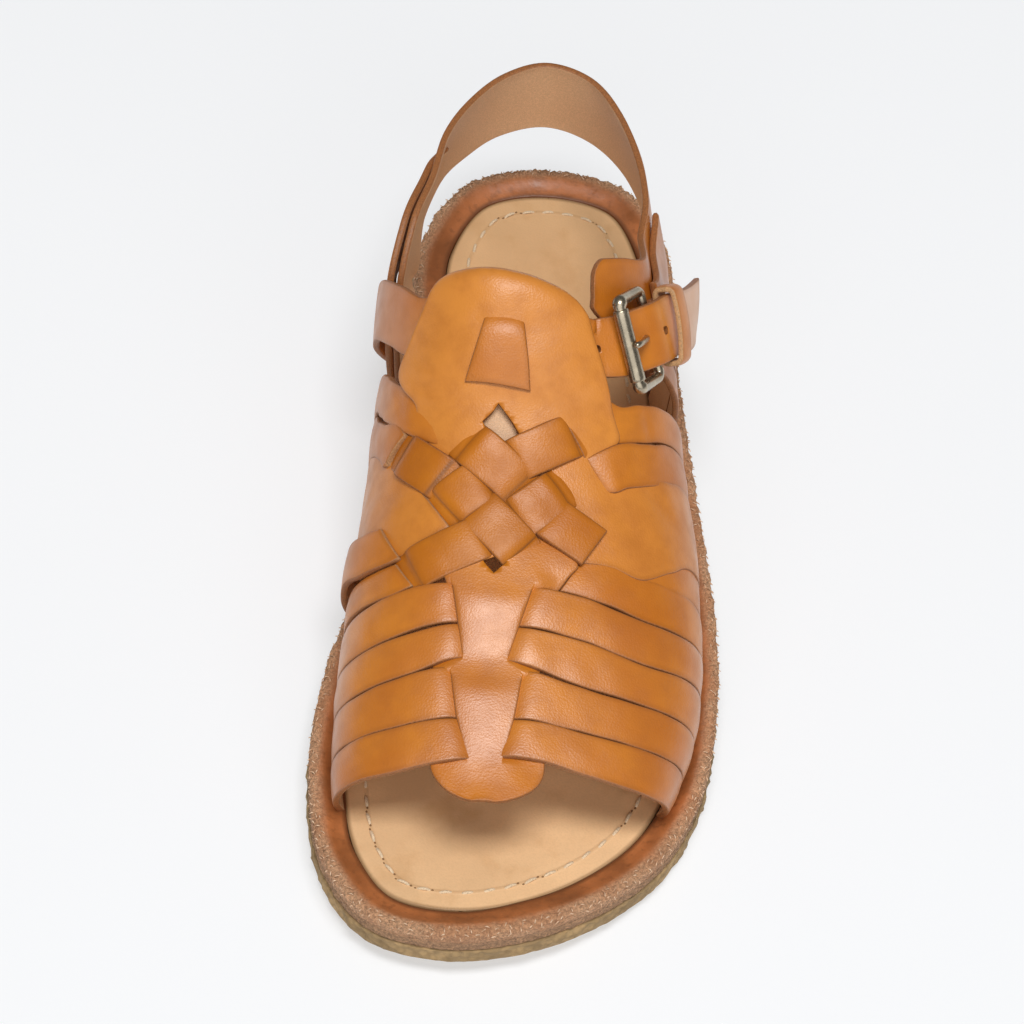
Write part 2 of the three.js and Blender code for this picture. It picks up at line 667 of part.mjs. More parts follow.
// What the straps' feet stay clear of: rand and insole, grown by the gap
const footClearance = soleLayer([
  { inset: 0, height: above(0) },
  ...RAND_PROFILE.slice(1, -1).map((row) => (
    { inset: row.inset, height: above(midsoleTop + row.rise + LAYER_GAP) })),
  { inset: FEATHER_MARGIN - LAYER_GAP, height: above(FOOTBED_RISE + LAYER_GAP) },
]);

// Last
const featherLoop = outlineLoop(FEATHER_MARGIN, FEATHER_STEPS);
const featherToe = featherLoop.length / 2;

function featherX(station, side) {
  const half = side > 0 ? featherLoop.slice(0, featherToe) : featherLoop.slice(featherToe).reverse();
  let k = 0;
  while (k < half.length - 2 && half[k + 1].station < station) k += 1;
  const span = half[k + 1].station - half[k].station;
  const t = Math.min(Math.max((station - half[k].station) / span, 0), 1);
  return half[k].x + (half[k + 1].x - half[k].x) * t;
}

const sectionCache = new Map();

// Half section of the last as girth, x and z from the ridge down to the feather line and a little further
function halfSection(station, side) {
  const key = `${station.toFixed(2)} ${side}`;
  if (sectionCache.has(key)) return sectionCache.get(key);
  const row = readRow(LAST_SECTIONS, rowPosition(LAST_SECTIONS, "station", station));
  const feather = Math.abs(featherX(station, side));
  const widest = Math.max(side > 0 ? row.lateral : row.medial, feather);
  const reach = widest - side * row.ridge;
  const widestHeight = row.height * WIDEST_LEVEL;
  const footbed = soleBase(station) + FOOTBED_RISE;
  const points = [];
  for (let k = 0; k <= LAST_UPPER_STEPS; k += 1) {
    const angle = (Math.PI / 2) * (1 - k / LAST_UPPER_STEPS);
    points.push({
      x: row.ridge + side * reach * Math.pow(Math.cos(angle), 2 / row.squareness),
      z: footbed + widestHeight + (row.height - widestHeight) * Math.pow(Math.sin(angle), 2 / row.squareness),
    });
  }
  for (let k = 1; k <= LAST_LOWER_STEPS; k += 1) {
    const level = 1 - k / LAST_LOWER_STEPS;
    const bulge = (widest - feather) * Math.sin((Math.PI / 2) * level);
    points.push({ x: side * (feather + bulge), z: footbed + widestHeight * level });
  }
  points.push({ x: side * feather, z: footbed - FOOT_EXTENSION });
  let girth = 0;
  points[0].girth = 0;
  for (let k = 1; k < points.length; k += 1) {
    girth += Math.hypot(points[k].x - points[k - 1].x, points[k].z - points[k - 1].z);
    points[k].girth = girth;
  }
  sectionCache.set(key, points);
  return points;
}

function onLast(station, girth) {
  const points = halfSection(station, girth < 0 ? -1 : 1);
  const reach = Math.min(Math.abs(girth), points[points.length - 1].girth);
  let k = 0;
  while (k < points.length - 2 && points[k + 1].girth < reach) k += 1;
  const a = points[k];
  const b = points[k + 1];
  const t = (reach - a.girth) / (b.girth - a.girth);
  return place(a.x + (b.x - a.x) * t, station, a.z + (b.z - a.z) * t);
}

const PROBE = 1.5;

function lastDirections(station, girth) {
  const along = onLast(station + PROBE, girth).sub(onLast(station - PROBE, girth)).divideScalar(2 * PROBE);
  const across = onLast(station, girth + PROBE).sub(onLast(station, girth - PROBE)).divideScalar(2 * PROBE);
  const normal = new THREE.Vector3().crossVectors(along, across).normalize();
  return { along, across, normal };
}

function liftedPoint(station, girth, lift) {
  return onLast(station, girth).addScaledVector(lastDirections(station, girth).normal, lift);
}

// Sheet of leather about a grid of middle points
function sheet(grid, thickness = STRAP_THICKNESS) {
  const rows = grid.length;
  const columns = grid[0].length;
  const at = (i, j) => grid[Math.min(Math.max(i, 0), rows - 1)][Math.min(Math.max(j, 0), columns - 1)];
  const upper = [];
  const lower = [];
  for (let i = 0; i < rows; i += 1) {
    for (let j = 0; j < columns; j += 1) {
      const along = at(i + 1, j).clone().sub(at(i - 1, j));
      const across = at(i, j + 1).clone().sub(at(i, j - 1));
      const normal = along.cross(across).normalize().multiplyScalar(thickness / 2);
      upper.push(at(i, j).clone().add(normal));
      lower.push(at(i, j).clone().sub(normal));
    }
  }
  const points = [...upper, ...lower];
  const shift = upper.length;
  const triangles = [];
  for (let i = 0; i + 1 < rows; i += 1) {
    for (let j = 0; j + 1 < columns; j += 1) {
      const a = i * columns + j;
      const b = a + 1;
      const c = a + columns;
      const d = c + 1;
      triangles.push([a, d, b], [a, c, d]);
      triangles.push([shift + a, shift + b, shift + d], [shift + a, shift + d, shift + c]);
    }
  }
  const rim = [];
  for (let j = 0; j < columns; j += 1) rim.push(j);
  for (let i = 1; i < rows; i += 1) rim.push(i * columns + columns - 1);
  for (let j = columns - 2; j >= 0; j -= 1) rim.push((rows - 1) * columns + j);
  for (let i = rows - 2; i > 0; i -= 1) rim.push(i * columns);
  rim.forEach((a, k) => {
    const b = rim[(k + 1) % rim.length];
    triangles.push([a, b, shift + b], [a, shift + b, shift + a]);
  });
  return closedGeometry(points, triangles);
}

// Rows of a table read closely enough to follow the last
function closeRows(rows, measure) {
  const close = [];
  for (let i = 0; i + 1 < rows.length; i += 1) {
    const steps = Math.max(1, Math.round(measure(rows[i], rows[i + 1]) / STRAP_STEP));
    for (let k = 0; k < steps; k += 1) close.push(readRow(rows, i + k / steps));
  }
  close.push(rows[rows.length - 1]);
  return close;
}

function crossStrap(rows) {
  const widest = Math.max(...rows.map((row) => row.front - row.back));
  const columns = widest > 2.5 * STRAP_STEP ? 3 : 1;
  const close = closeRows(rows, (a, b) => Math.abs(b.girth - a.girth));
  return sheet(close.map((row) => Array.from({ length: columns + 1 }, (_, j) =>
    liftedPoint(row.back + ((row.front - row.back) * j) / columns, row.girth, row.lift))));
}

function longPiece(rows, columns) {
  const close = closeRows(rows, (a, b) => Math.abs(b.station - a.station));
  return sheet(close.map((row) => Array.from({ length: columns + 1 }, (_, j) => {
    const girth = row.medial + ((row.lateral - row.medial) * j) / columns;
    return liftedPoint(row.station + (row.slant ?? 0) * girth, girth, row.lift);
  })));
}

// Strip of even width along a middle line on the last
function pathFrames(rows) {
  const close = closeRows(rows, (a, b) => Math.hypot(b.station - a.station, b.girth - a.girth));
  return close.map((row, i) => {
    const before = close[Math.max(i - 1, 0)];
    const after = close[Math.min(i + 1, close.length - 1)];
    const { along, across } = lastDirections(row.station, row.girth);
    const run = along.clone().multiplyScalar(after.station - before.station)
      .addScaledVector(across, after.girth - before.girth);
    const stationShare = run.dot(across);
    const girthShare = -run.dot(along);
    const length = along.clone().multiplyScalar(stationShare).addScaledVector(across, girthShare).length();
    return { ...row, stationStep: stationShare / length, girthStep: girthShare / length };
  });
}

function pathStrip(rows, evenWidth, columns = 2, endSlant = 0) {
  const frames = pathFrames(rows);
  const end = frames.length - 1;
  const run = {
    station: frames[end].station - frames[end - 1].station,
    girth: frames[end].girth - frames[end - 1].girth,
  };
  const runLength = Math.hypot(run.station, run.girth);
  return sheet(frames.map((row, i) => Array.from({ length: columns + 1 }, (_, j) => {
    const side = j / columns - 0.5;
    const slant = i === end ? (side * endSlant) / runLength : 0;
    const width = row.width ?? evenWidth;
    const station = row.station + row.stationStep * side * width + run.station * slant;
    const girth = row.girth + row.girthStep * side * width + run.girth * slant;
    return liftedPoint(station, girth, row.lift);
  })));
}

// Prism through the leather over a chart of corners
function lastPrism(corners) {
  const count = corners.length;
  const low = corners.map((corner) => liftedPoint(corner.station, corner.girth, -HOLE_DEPTH / 2));
  const high = corners.map((corner) => liftedPoint(corner.station, corner.girth, HOLE_DEPTH / 2));
  const triangles = [];
  joinRings(triangles, 0, count, count);
  for (let k = 1; k + 1 < count; k += 1) triangles.push([0, k + 1, k], [count, count + k, count + k + 1]);
  return closedGeometry([...low, ...high], triangles);
}

// Upper: the woven vamp and the tongue, one wall
const upperPieces = [
  ...Object.values(CROSS_STRAPS).map(crossStrap),
  ...Object.values(LONG_PIECES).map((rows) => longPiece(rows, BRIDGE_COLUMNS)),
  ...Object.values(WOVEN_STRIPS).map((rows) => pathStrip(rows, WEAVE_WIDTH)),
  longPiece(TONGUE, TONGUE_COLUMNS),
  longPiece(LOCKING_TAB, 2),
];
let upperSolid = union(upperPieces).subtract(toManifold(footClearance));
for (const corners of Object.values(WEAVE_HOLES)) {
  upperSolid = upperSolid.subtract(toManifold(lastPrism(corners)));
}
const upper = outerSkin(fromManifold(upperSolid));

// Heel strap, one band from the tab behind the buckle to the inner side of the sole
function edgesOnLast(row) {
  const low = liftedPoint(row.lowStation, row.lowGirth, row.lift);
  const high = liftedPoint(row.highStation, row.highGirth, row.lift);
  return { lowX: low.x, lowStation: -low.y, lowZ: low.z, highX: high.x, highStation: -high.y, highZ: high.z };
}

const heelStrapRows = [
  ...HEEL_STRAP_TAB.map(edgesOnLast),
  ...HEEL_STRAP_BACK,
  ...HEEL_STRAP_LEG.map(edgesOnLast),
];

function heelStrapPoint(along, across) {
  const row = readRow(heelStrapRows, along);
  const low = place(row.lowX, row.lowStation, row.lowZ);
  return low.lerp(place(row.highX, row.highStation, row.highZ), across);
}

const heelStrapGrid = [];
for (let k = 0; k <= HEEL_STRAP_STEPS * (heelStrapRows.length - 1); k += 1) {
  heelStrapGrid.push([0, 0.5, 1].map((across) => heelStrapPoint(k / HEEL_STRAP_STEPS, across)));
}
const heelStrap = fromManifold(toManifold(sheet(heelStrapGrid)).subtract(toManifold(footClearance)));

// Quarter with its locking end over the heel strap
const lockGrid = closeRows(LOCK_STRIP, (a, b) => (b.along - a.along) * 4 * STRAP_STEP).map((row) =>
  [row.low, (row.low + row.high) / 2, row.high].map((across) => {
    const point = heelStrapPoint(row.along, across);
    const run = heelStrapPoint(row.along + HEEL_STRAP_PROBE, across).sub(point);
    const width = heelStrapPoint(row.along, across + HEEL_STRAP_PROBE).sub(point);
    return point.addScaledVector(run.cross(width).normalize(), LOCK_STRIP_LIFT);
  }));
const quarterPieces = [...Object.values(QUARTER_STRIPS).map(crossStrap), sheet(lockGrid)];
const quarter = outerSkin(fromManifold(union(quarterPieces).subtract(toManifold(footClearance))));

// Frame of the ankle strap at a girth: middle of the leather, direction to the tail, outward normal
function strapFrame(girth) {
  const middle = (value) => {
    const row = readRow(ANKLE_STRAP, rowPosition(ANKLE_STRAP, "girth", value));
    return liftedPoint(row.station, row.girth, row.lift);
  };
  const origin = middle(girth);
  const run = middle(girth + PROBE).sub(middle(girth - PROBE)).normalize();
  const row = readRow(ANKLE_STRAP, rowPosition(ANKLE_STRAP, "girth", girth));
  const rough = lastDirections(row.station, row.girth).normal;
  const normal = rough.addScaledVector(run, -rough.dot(run)).normalize();
  return { origin, run, normal };
}

function frameGroup(origin, run, normal) {
  const group = new THREE.Group();
  const side = new THREE.Vector3().crossVectors(normal, run);
  group.quaternion.setFromRotationMatrix(new THREE.Matrix4().makeBasis(run, side, normal));
  group.position.copy(origin);
  group.updateMatrix();
  return group;
}

// Round bar along points of a plane
function roundBar(points, planeNormal, radius, sides, closed) {
  const count = points.length;
  const vertices = [];
  points.forEach((point, i) => {
    const before = points[closed ? (i + count - 1) % count : Math.max(i - 1, 0)];
    const after = points[closed ? (i + 1) % count : Math.min(i + 1, count - 1)];
    const outward = after.clone().sub(before).normalize().cross(planeNormal);
    for (let k = 0; k < sides; k += 1) {
      const angle = (2 * Math.PI * k) / sides;
      vertices.push(point.clone().addScaledVector(outward, radius * Math.cos(angle))
        .addScaledVector(planeNormal, radius * Math.sin(angle)));
    }
  });
  const triangles = [];
  for (let i = 0; i < (closed ? count : count - 1); i += 1) {
    joinRings(triangles, i * sides, ((i + 1) % count) * sides, sides);
  }
  if (!closed) {
    const end = (count - 1) * sides;
    for (let k = 1; k + 1 < sides; k += 1) triangles.push([0, k + 1, k], [end, end + k, end + k + 1]);
  }
  return closedGeometry(vertices, triangles);
}

// Buckle: the strap runs under the roller and over the hinge bar
const rollerFrame = strapFrame(ROLLER_GIRTH);
const hingeFrame = strapFrame(HINGE_BAR_GIRTH);
const rollerCentre = rollerFrame.origin.clone()
  .addScaledVector(rollerFrame.normal, STRAP_THICKNESS / 2 + ROLLER_CLEARANCE + ROLLER_RADIUS);
const hingeCentre = hingeFrame.origin.clone()
  .addScaledVector(hingeFrame.normal, -STRAP_THICKNESS / 2 - HINGE_CLEARANCE - BAR_RADIUS);
const buckleRun = hingeCentre.clone().sub(rollerCentre);
const buckleLength = buckleRun.length();
buckleRun.normalize();
const buckleLean = strapFrame((ROLLER_GIRTH + HINGE_BAR_GIRTH) / 2).normal;
const buckleNormal = buckleLean.addScaledVector(buckleRun, -buckleLean.dot(buckleRun)).normalize();
const buckleOrigin = rollerCentre.clone().lerp(hingeCentre, 0.5);
const buckleGroup = frameGroup(buckleOrigin, buckleRun, buckleNormal);

const frameOutline = [];
const corners = [
  { u: 1, v: 1, start: 0 },
  { u: -1, v: 1, start: Math.PI / 2 },
  { u: -1, v: -1, start: Math.PI },
  { u: 1, v: -1, start: (3 * Math.PI) / 2 },
];
for (const corner of corners) {
  for (let k = 0; k <= CORNER_STEPS; k += 1) {
    const angle = corner.start + (Math.PI / 2) * (k / CORNER_STEPS);
    frameOutline.push(new THREE.Vector3(
      corner.u * (buckleLength / 2 - BUCKLE_CORNER) + BUCKLE_CORNER * Math.cos(angle),
      corner.v * (BUCKLE_WIDTH / 2 - BUCKLE_CORNER) + BUCKLE_CORNER * Math.sin(angle), 0));
  }
}
const acrossPlane = new THREE.Vector3(0, 0, 1);
const alongPlane = new THREE.Vector3(0, 1, 0);
const buckleFrame = roundBar(frameOutline, acrossPlane, BAR_RADIUS, BAR_SIDES, true);

const rollerBore = BAR_RADIUS + PIECE_GAP;
const rollerProfile = [
  new THREE.Vector2(rollerBore, -ROLLER_LENGTH / 2),
  new THREE.Vector2(ROLLER_RADIUS, -ROLLER_LENGTH / 2),
  new THREE.Vector2(ROLLER_RADIUS, ROLLER_LENGTH / 2),
  new THREE.Vector2(rollerBore, ROLLER_LENGTH / 2),
  new THREE.Vector2(rollerBore, -ROLLER_LENGTH / 2),
];
const roller = new THREE.LatheGeometry(rollerProfile, ROLLER_SIDES);

// Prong: hooked under the hinge bar, up through the strap and over the roller
const prongReach = BAR_RADIUS + PIECE_GAP + PRONG_RADIUS;
const rollerTop = ROLLER_RADIUS + PIECE_GAP + PRONG_RADIUS;
const prongPath = [];
for (let k = 0; k <= HOOK_STEPS; k += 1) {
  const angle = -HOOK_START - (HOOK_TURN * k) / HOOK_STEPS;
  const hookAlong = buckleLength / 2 + prongReach * Math.cos(angle);
  prongPath.push(new THREE.Vector3(hookAlong, 0, prongReach * Math.sin(angle)));
}
for (const row of PRONG_RISE) prongPath.push(new THREE.Vector3(row.along, 0, row.over));
prongPath.push(new THREE.Vector3(-buckleLength / 2, 0, rollerTop));
prongPath.push(new THREE.Vector3(-buckleLength / 2 - ROLLER_RADIUS, 0, rollerTop - PRONG_RADIUS / 2));
const prong = roundBar(prongPath, alongPlane, PRONG_RADIUS, PRONG_SIDES, false);
const prongHole = roundBar(prongPath, alongPlane, PRONG_RADIUS + PIECE_GAP, PRONG_SIDES, false);

// Ankle strap with its holes
let strapSolid = toManifold(pathStrip(ANKLE_STRAP, ANKLE_STRAP_WIDTH, 2, TAIL_SLANT));
strapSolid = strapSolid.subtract(toManifold(footClearance));
strapSolid = strapSolid.subtract(toManifold(prongHole.applyMatrix4(buckleGroup.matrix)));
for (const girth of STRAP_HOLE_GIRTHS) {
  const { origin, run, normal } = strapFrame(girth);
  const holeLength = 3 * STRAP_THICKNESS;
  const hole = new THREE.CylinderGeometry(STRAP_HOLE_RADIUS, STRAP_HOLE_RADIUS, holeLength, HOLE_SIDES);
  hole.rotateX(Math.PI / 2);
  strapSolid = strapSolid.subtract(toManifold(hole.applyMatrix4(frameGroup(origin, run, normal).matrix)));
}
const ankleStrap = fromManifold(strapSolid);

// Keeper: a leather loop round the strap's tail
const keeperFrame = strapFrame(KEEPER_GIRTH);
const keeperGroup = frameGroup(keeperFrame.origin, keeperFrame.run, keeperFrame.normal);

function loopOutline(Path, halfWidth, halfHeight, corner) {
  const path = new Path();
  path.moveTo(-halfWidth + corner, -halfHeight);
  path.lineTo(halfWidth - corner, -halfHeight);
  path.quadraticCurveTo(halfWidth, -halfHeight, halfWidth, -halfHeight + corner);
  path.lineTo(halfWidth, halfHeight - corner);
  path.quadraticCurveTo(halfWidth, halfHeight, halfWidth - corner, halfHeight);
  path.lineTo(-halfWidth + corner, halfHeight);
  path.quadraticCurveTo(-halfWidth, halfHeight, -halfWidth, halfHeight - corner);
  path.lineTo(-halfWidth, -halfHeight + corner);
  path.quadraticCurveTo(-halfWidth, -halfHeight, -halfWidth + corner, -halfHeight);
  return path;
}

const loopInnerWidth = ANKLE_STRAP_WIDTH / 2 + 4 * PIECE_GAP;
const loopInnerHeight = STRAP_THICKNESS / 2 + 2.5 * PIECE_GAP;
const keeperShape = loopOutline(
  THREE.Shape, loopInnerWidth + KEEPER_THICKNESS, loopInnerHeight + KEEPER_THICKNESS, KEEPER_CORNER);
keeperShape.holes.push(loopOutline(THREE.Path, loopInnerWidth, loopInnerHeight, KEEPER_INNER_CORNER));
const keeper = new THREE.ExtrudeGeometry(
  keeperShape, { depth: KEEPER_WIDTH, bevelEnabled: false, curveSegments: CORNER_STEPS });
keeper.translate(0, 0, -KEEPER_WIDTH / 2);
keeper.rotateX(Math.PI / 2);
keeper.rotateZ(Math.PI / 2);

const sandal = new THREE.Group();
sandal.add(buckleGroup);
sandal.add(keeperGroup);

function addMesh(name, geometry, material, parent = sandal) {
  const mesh = new THREE.Mesh(geometry, material);
  mesh.name = name;
  parent.add(mesh);
  return mesh;
}

addMesh("heel_lift", heelLift, shadeMaterial(0x9c8048, 0.85));
addMesh("outsole", outsole, shadeMaterial(0x9c8048, 0.85));
addMesh("midsole", midsole, shadeMaterial(0xc99d84, 0.6));
addMesh("rand", rand, shadeMaterial(0xa9683c, 0.6));
addMesh("insole", insole, shadeMaterial(0xd9b98c, 0.65));
addMesh("upper", upper, shadeMaterial(TAN_LEATHER, 0.5));
addMesh("heel_strap", heelStrap, shadeMaterial(TAN_LEATHER, 0.5));
addMesh("quarter_strap", quarter, shadeMaterial(TAN_LEATHER, 0.5));
addMesh("ankle_strap", ankleStrap, shadeMaterial(TAN_LEATHER, 0.5));
addMesh("keeper_loop", keeper, shadeMaterial(TAN_LEATHER, 0.5), keeperGroup);
addMesh("buckle_frame", buckleFrame, shadeMaterial(0x8a7550, 0.35, 1), buckleGroup);
const rollerMesh = addMesh("buckle_roller", roller, shadeMaterial(0xb59c6a, 0.3, 1), buckleGroup);
rollerMesh.position.x = -buckleLength / 2;
addMesh("buckle_prong", prong, shadeMaterial(0x8a7550, 0.35, 1), buckleGroup);

// The shoe stands on its sole, centred over the origin
const box = new THREE.Box3().setFromObject(sandal);
const centre = box.getCenter(new THREE.Vector3());
sandal.position.set(-centre.x, -centre.y, -box.min.z);
sandal.updateMatrixWorld(true);

export default sandal;
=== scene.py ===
import math

import bpy
import numpy as np
from mathutils import Matrix, Vector


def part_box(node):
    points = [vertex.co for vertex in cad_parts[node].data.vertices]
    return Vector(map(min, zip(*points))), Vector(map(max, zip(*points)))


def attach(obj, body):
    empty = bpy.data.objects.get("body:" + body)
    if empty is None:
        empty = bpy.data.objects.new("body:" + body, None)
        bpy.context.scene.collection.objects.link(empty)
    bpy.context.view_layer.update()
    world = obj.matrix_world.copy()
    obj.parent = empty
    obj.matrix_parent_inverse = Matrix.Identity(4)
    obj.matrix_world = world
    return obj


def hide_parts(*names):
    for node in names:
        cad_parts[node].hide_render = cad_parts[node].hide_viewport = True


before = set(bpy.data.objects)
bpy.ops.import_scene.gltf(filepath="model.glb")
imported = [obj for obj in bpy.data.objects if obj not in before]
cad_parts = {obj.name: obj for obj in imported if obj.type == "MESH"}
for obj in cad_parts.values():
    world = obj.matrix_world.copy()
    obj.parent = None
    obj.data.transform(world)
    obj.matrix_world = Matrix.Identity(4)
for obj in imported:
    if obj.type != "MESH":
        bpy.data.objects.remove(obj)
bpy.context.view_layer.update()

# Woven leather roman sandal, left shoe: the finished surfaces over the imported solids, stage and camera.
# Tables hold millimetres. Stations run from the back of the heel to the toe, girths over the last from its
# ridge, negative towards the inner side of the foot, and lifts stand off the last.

bl_info = {
    "name": "Roman sandal",
    "version": (1, 0, 0),
    "blender": (4, 5, 0),
    "location": "View3D > Sidebar > Sandal",
    "description": "Builds a woven leather sandal piece by piece over its packed solids",
    "category": "Object",
}

MM = 0.001
SEED = 7

# Sole
HEEL_LIFT_HEIGHT = 7.0
HEEL_BREAST_STATION = 76.0
SHANK_END_STATION = 160.0
TOE_SPRING = 7.0
TOE_SPRING_START = 208.0
SHOE_LENGTH = 280.0
OUTSOLE_THICKNESS = 6.5
MIDSOLE_THICKNESS = 4.0
INSOLE_THICKNESS = 2.5
LAYER_GAP = 0.3
MIDSOLE_TOP = OUTSOLE_THICKNESS + MIDSOLE_THICKNESS
FOOTBED_RISE = MIDSOLE_TOP + INSOLE_THICKNESS
FEATHER_MARGIN = 10.3
OUTLINE_POINTS = 480
RAND_POINTS = 960

# Outline of the sole from the heel round the outer side to the toe and back: x, station
SOLE_OUTLINE = (
    (1, 0), (27, 7), (39.5, 29), (44.5, 80), (50.5, 118), (57, 158), (58.8, 192), (54.5, 225), (42, 250),
    (18, 270), (-12, 280), (-38, 275), (-52.5, 256), (-58.8, 224), (-56.5, 190), (-46, 150), (-39.5, 112),
    (-38.8, 72), (-38.5, 34), (-25, 8),
)

# Section of the rand: inset from the sole's edge, rise over the midsole, share of raw rim, roughness
RAND_PROFILE = (
    (0.5, 0, 1, 0), (0.45, 1.2, 1, 0.15), (0.45, 2.4, 1, 0.3), (0.5, 3.4, 1, 0.45), (0.7, 4.2, 1, 0.55),
    (1.1, 4.7, 1, 0.6), (1.7, 4.95, 1, 0.6), (2.4, 5, 0.95, 0.5), (3.1, 4.95, 0.7, 0.35),
    (3.8, 4.8, 0.35, 0.2), (4.6, 4.5, 0.1, 0.08), (5.5, 4.1, 0, 0.04), (6.5, 3.65, 0, 0.04),
    (7.6, 3.15, 0, 0.04), (8.7, 2.95, 0, 0.03), (9.7, 2.75, 0, 0), (10.2, 2.6, 0, 0), (10.25, 0, 0, 0),
)

# Painted shade on the insole towards the heel: share, station at which it ends, length of its ramp
HEEL_PAINTED_SHADE = (0.35, 215, 90)

# Lines of loose fibres on the rim: inset, rise over the midsole, spacing in metres
RIM_FIBRES = ((0.35, 2.6, 0.0047), (0.6, 4.2, 0.0031), (1.6, 5.1, 0.0037), (2.6, 5.1, 0.0053))

# Turn of the stitches, and turn and unevenness of the fibres, in radians
STITCH_TURN = 0.1
FIBRE_TURN = (0.6, 1.3)

# Edge of the crepe from below: inset, share of the height, roughness
CREPE_EDGE = (
    (0.6, 0, 0), (0.15, 0.07, 0.1), (0, 0.2, 0.25), (0, 0.4, 0.35), (0, 0.6, 0.35), (0, 0.8, 0.3),
    (0.1, 1, 0.1),
)

# Edge of the midsole from below: inset, rise over the sole's base, roughness
MIDSOLE_EDGE = (
    (0.6, OUTSOLE_THICKNESS - 0.1, 0), (0.4, OUTSOLE_THICKNESS + 0.4, 0.15),
    (0.4, OUTSOLE_THICKNESS + 1.2, 0.22), (0.4, OUTSOLE_THICKNESS + 2, 0.22),
    (0.4, OUTSOLE_THICKNESS + 2.8, 0.22), (0.45, MIDSOLE_TOP - 0.4, 0.12), (0.5, MIDSOLE_TOP - 0.02, 0),
)

# Sections of the last: station, inner and outer half width, ridge, height over the footbed, squareness
LAST_SECTIONS = (
    (60, 43.5, 36, -12, 117, 2), (85, 44.5, 37.6, -12, 101, 2), (111, 45, 40.4, -12, 83, 1.95),
    (130, 46, 42.8, -12, 71, 2), (150, 46.8, 46.4, -11.5, 60.5, 2.05), (172, 48.6, 49.3, -11, 51.5, 2.15),
    (195, 49.7, 50.3, -10, 44.5, 2.25), (218, 50, 47.8, -9.5, 38.5, 2.3), (245, 47.5, 38, -9, 31.5, 2.3),
    (262, 38, 24, -9, 26, 2.3),
)
WIDEST_LEVEL = 0.3
FOOT_EXTENSION = 12.0

# Leather
STRAP_THICKNESS = 2.0
WEAVE_WIDTH = 13.2
EDGE_LADDER = (0, 0.1, 0.25, 0.45, 0.75)
EDGE_ROUNDING = 0.55
PALE_END = 0.55
PALE_REACH = 1.8

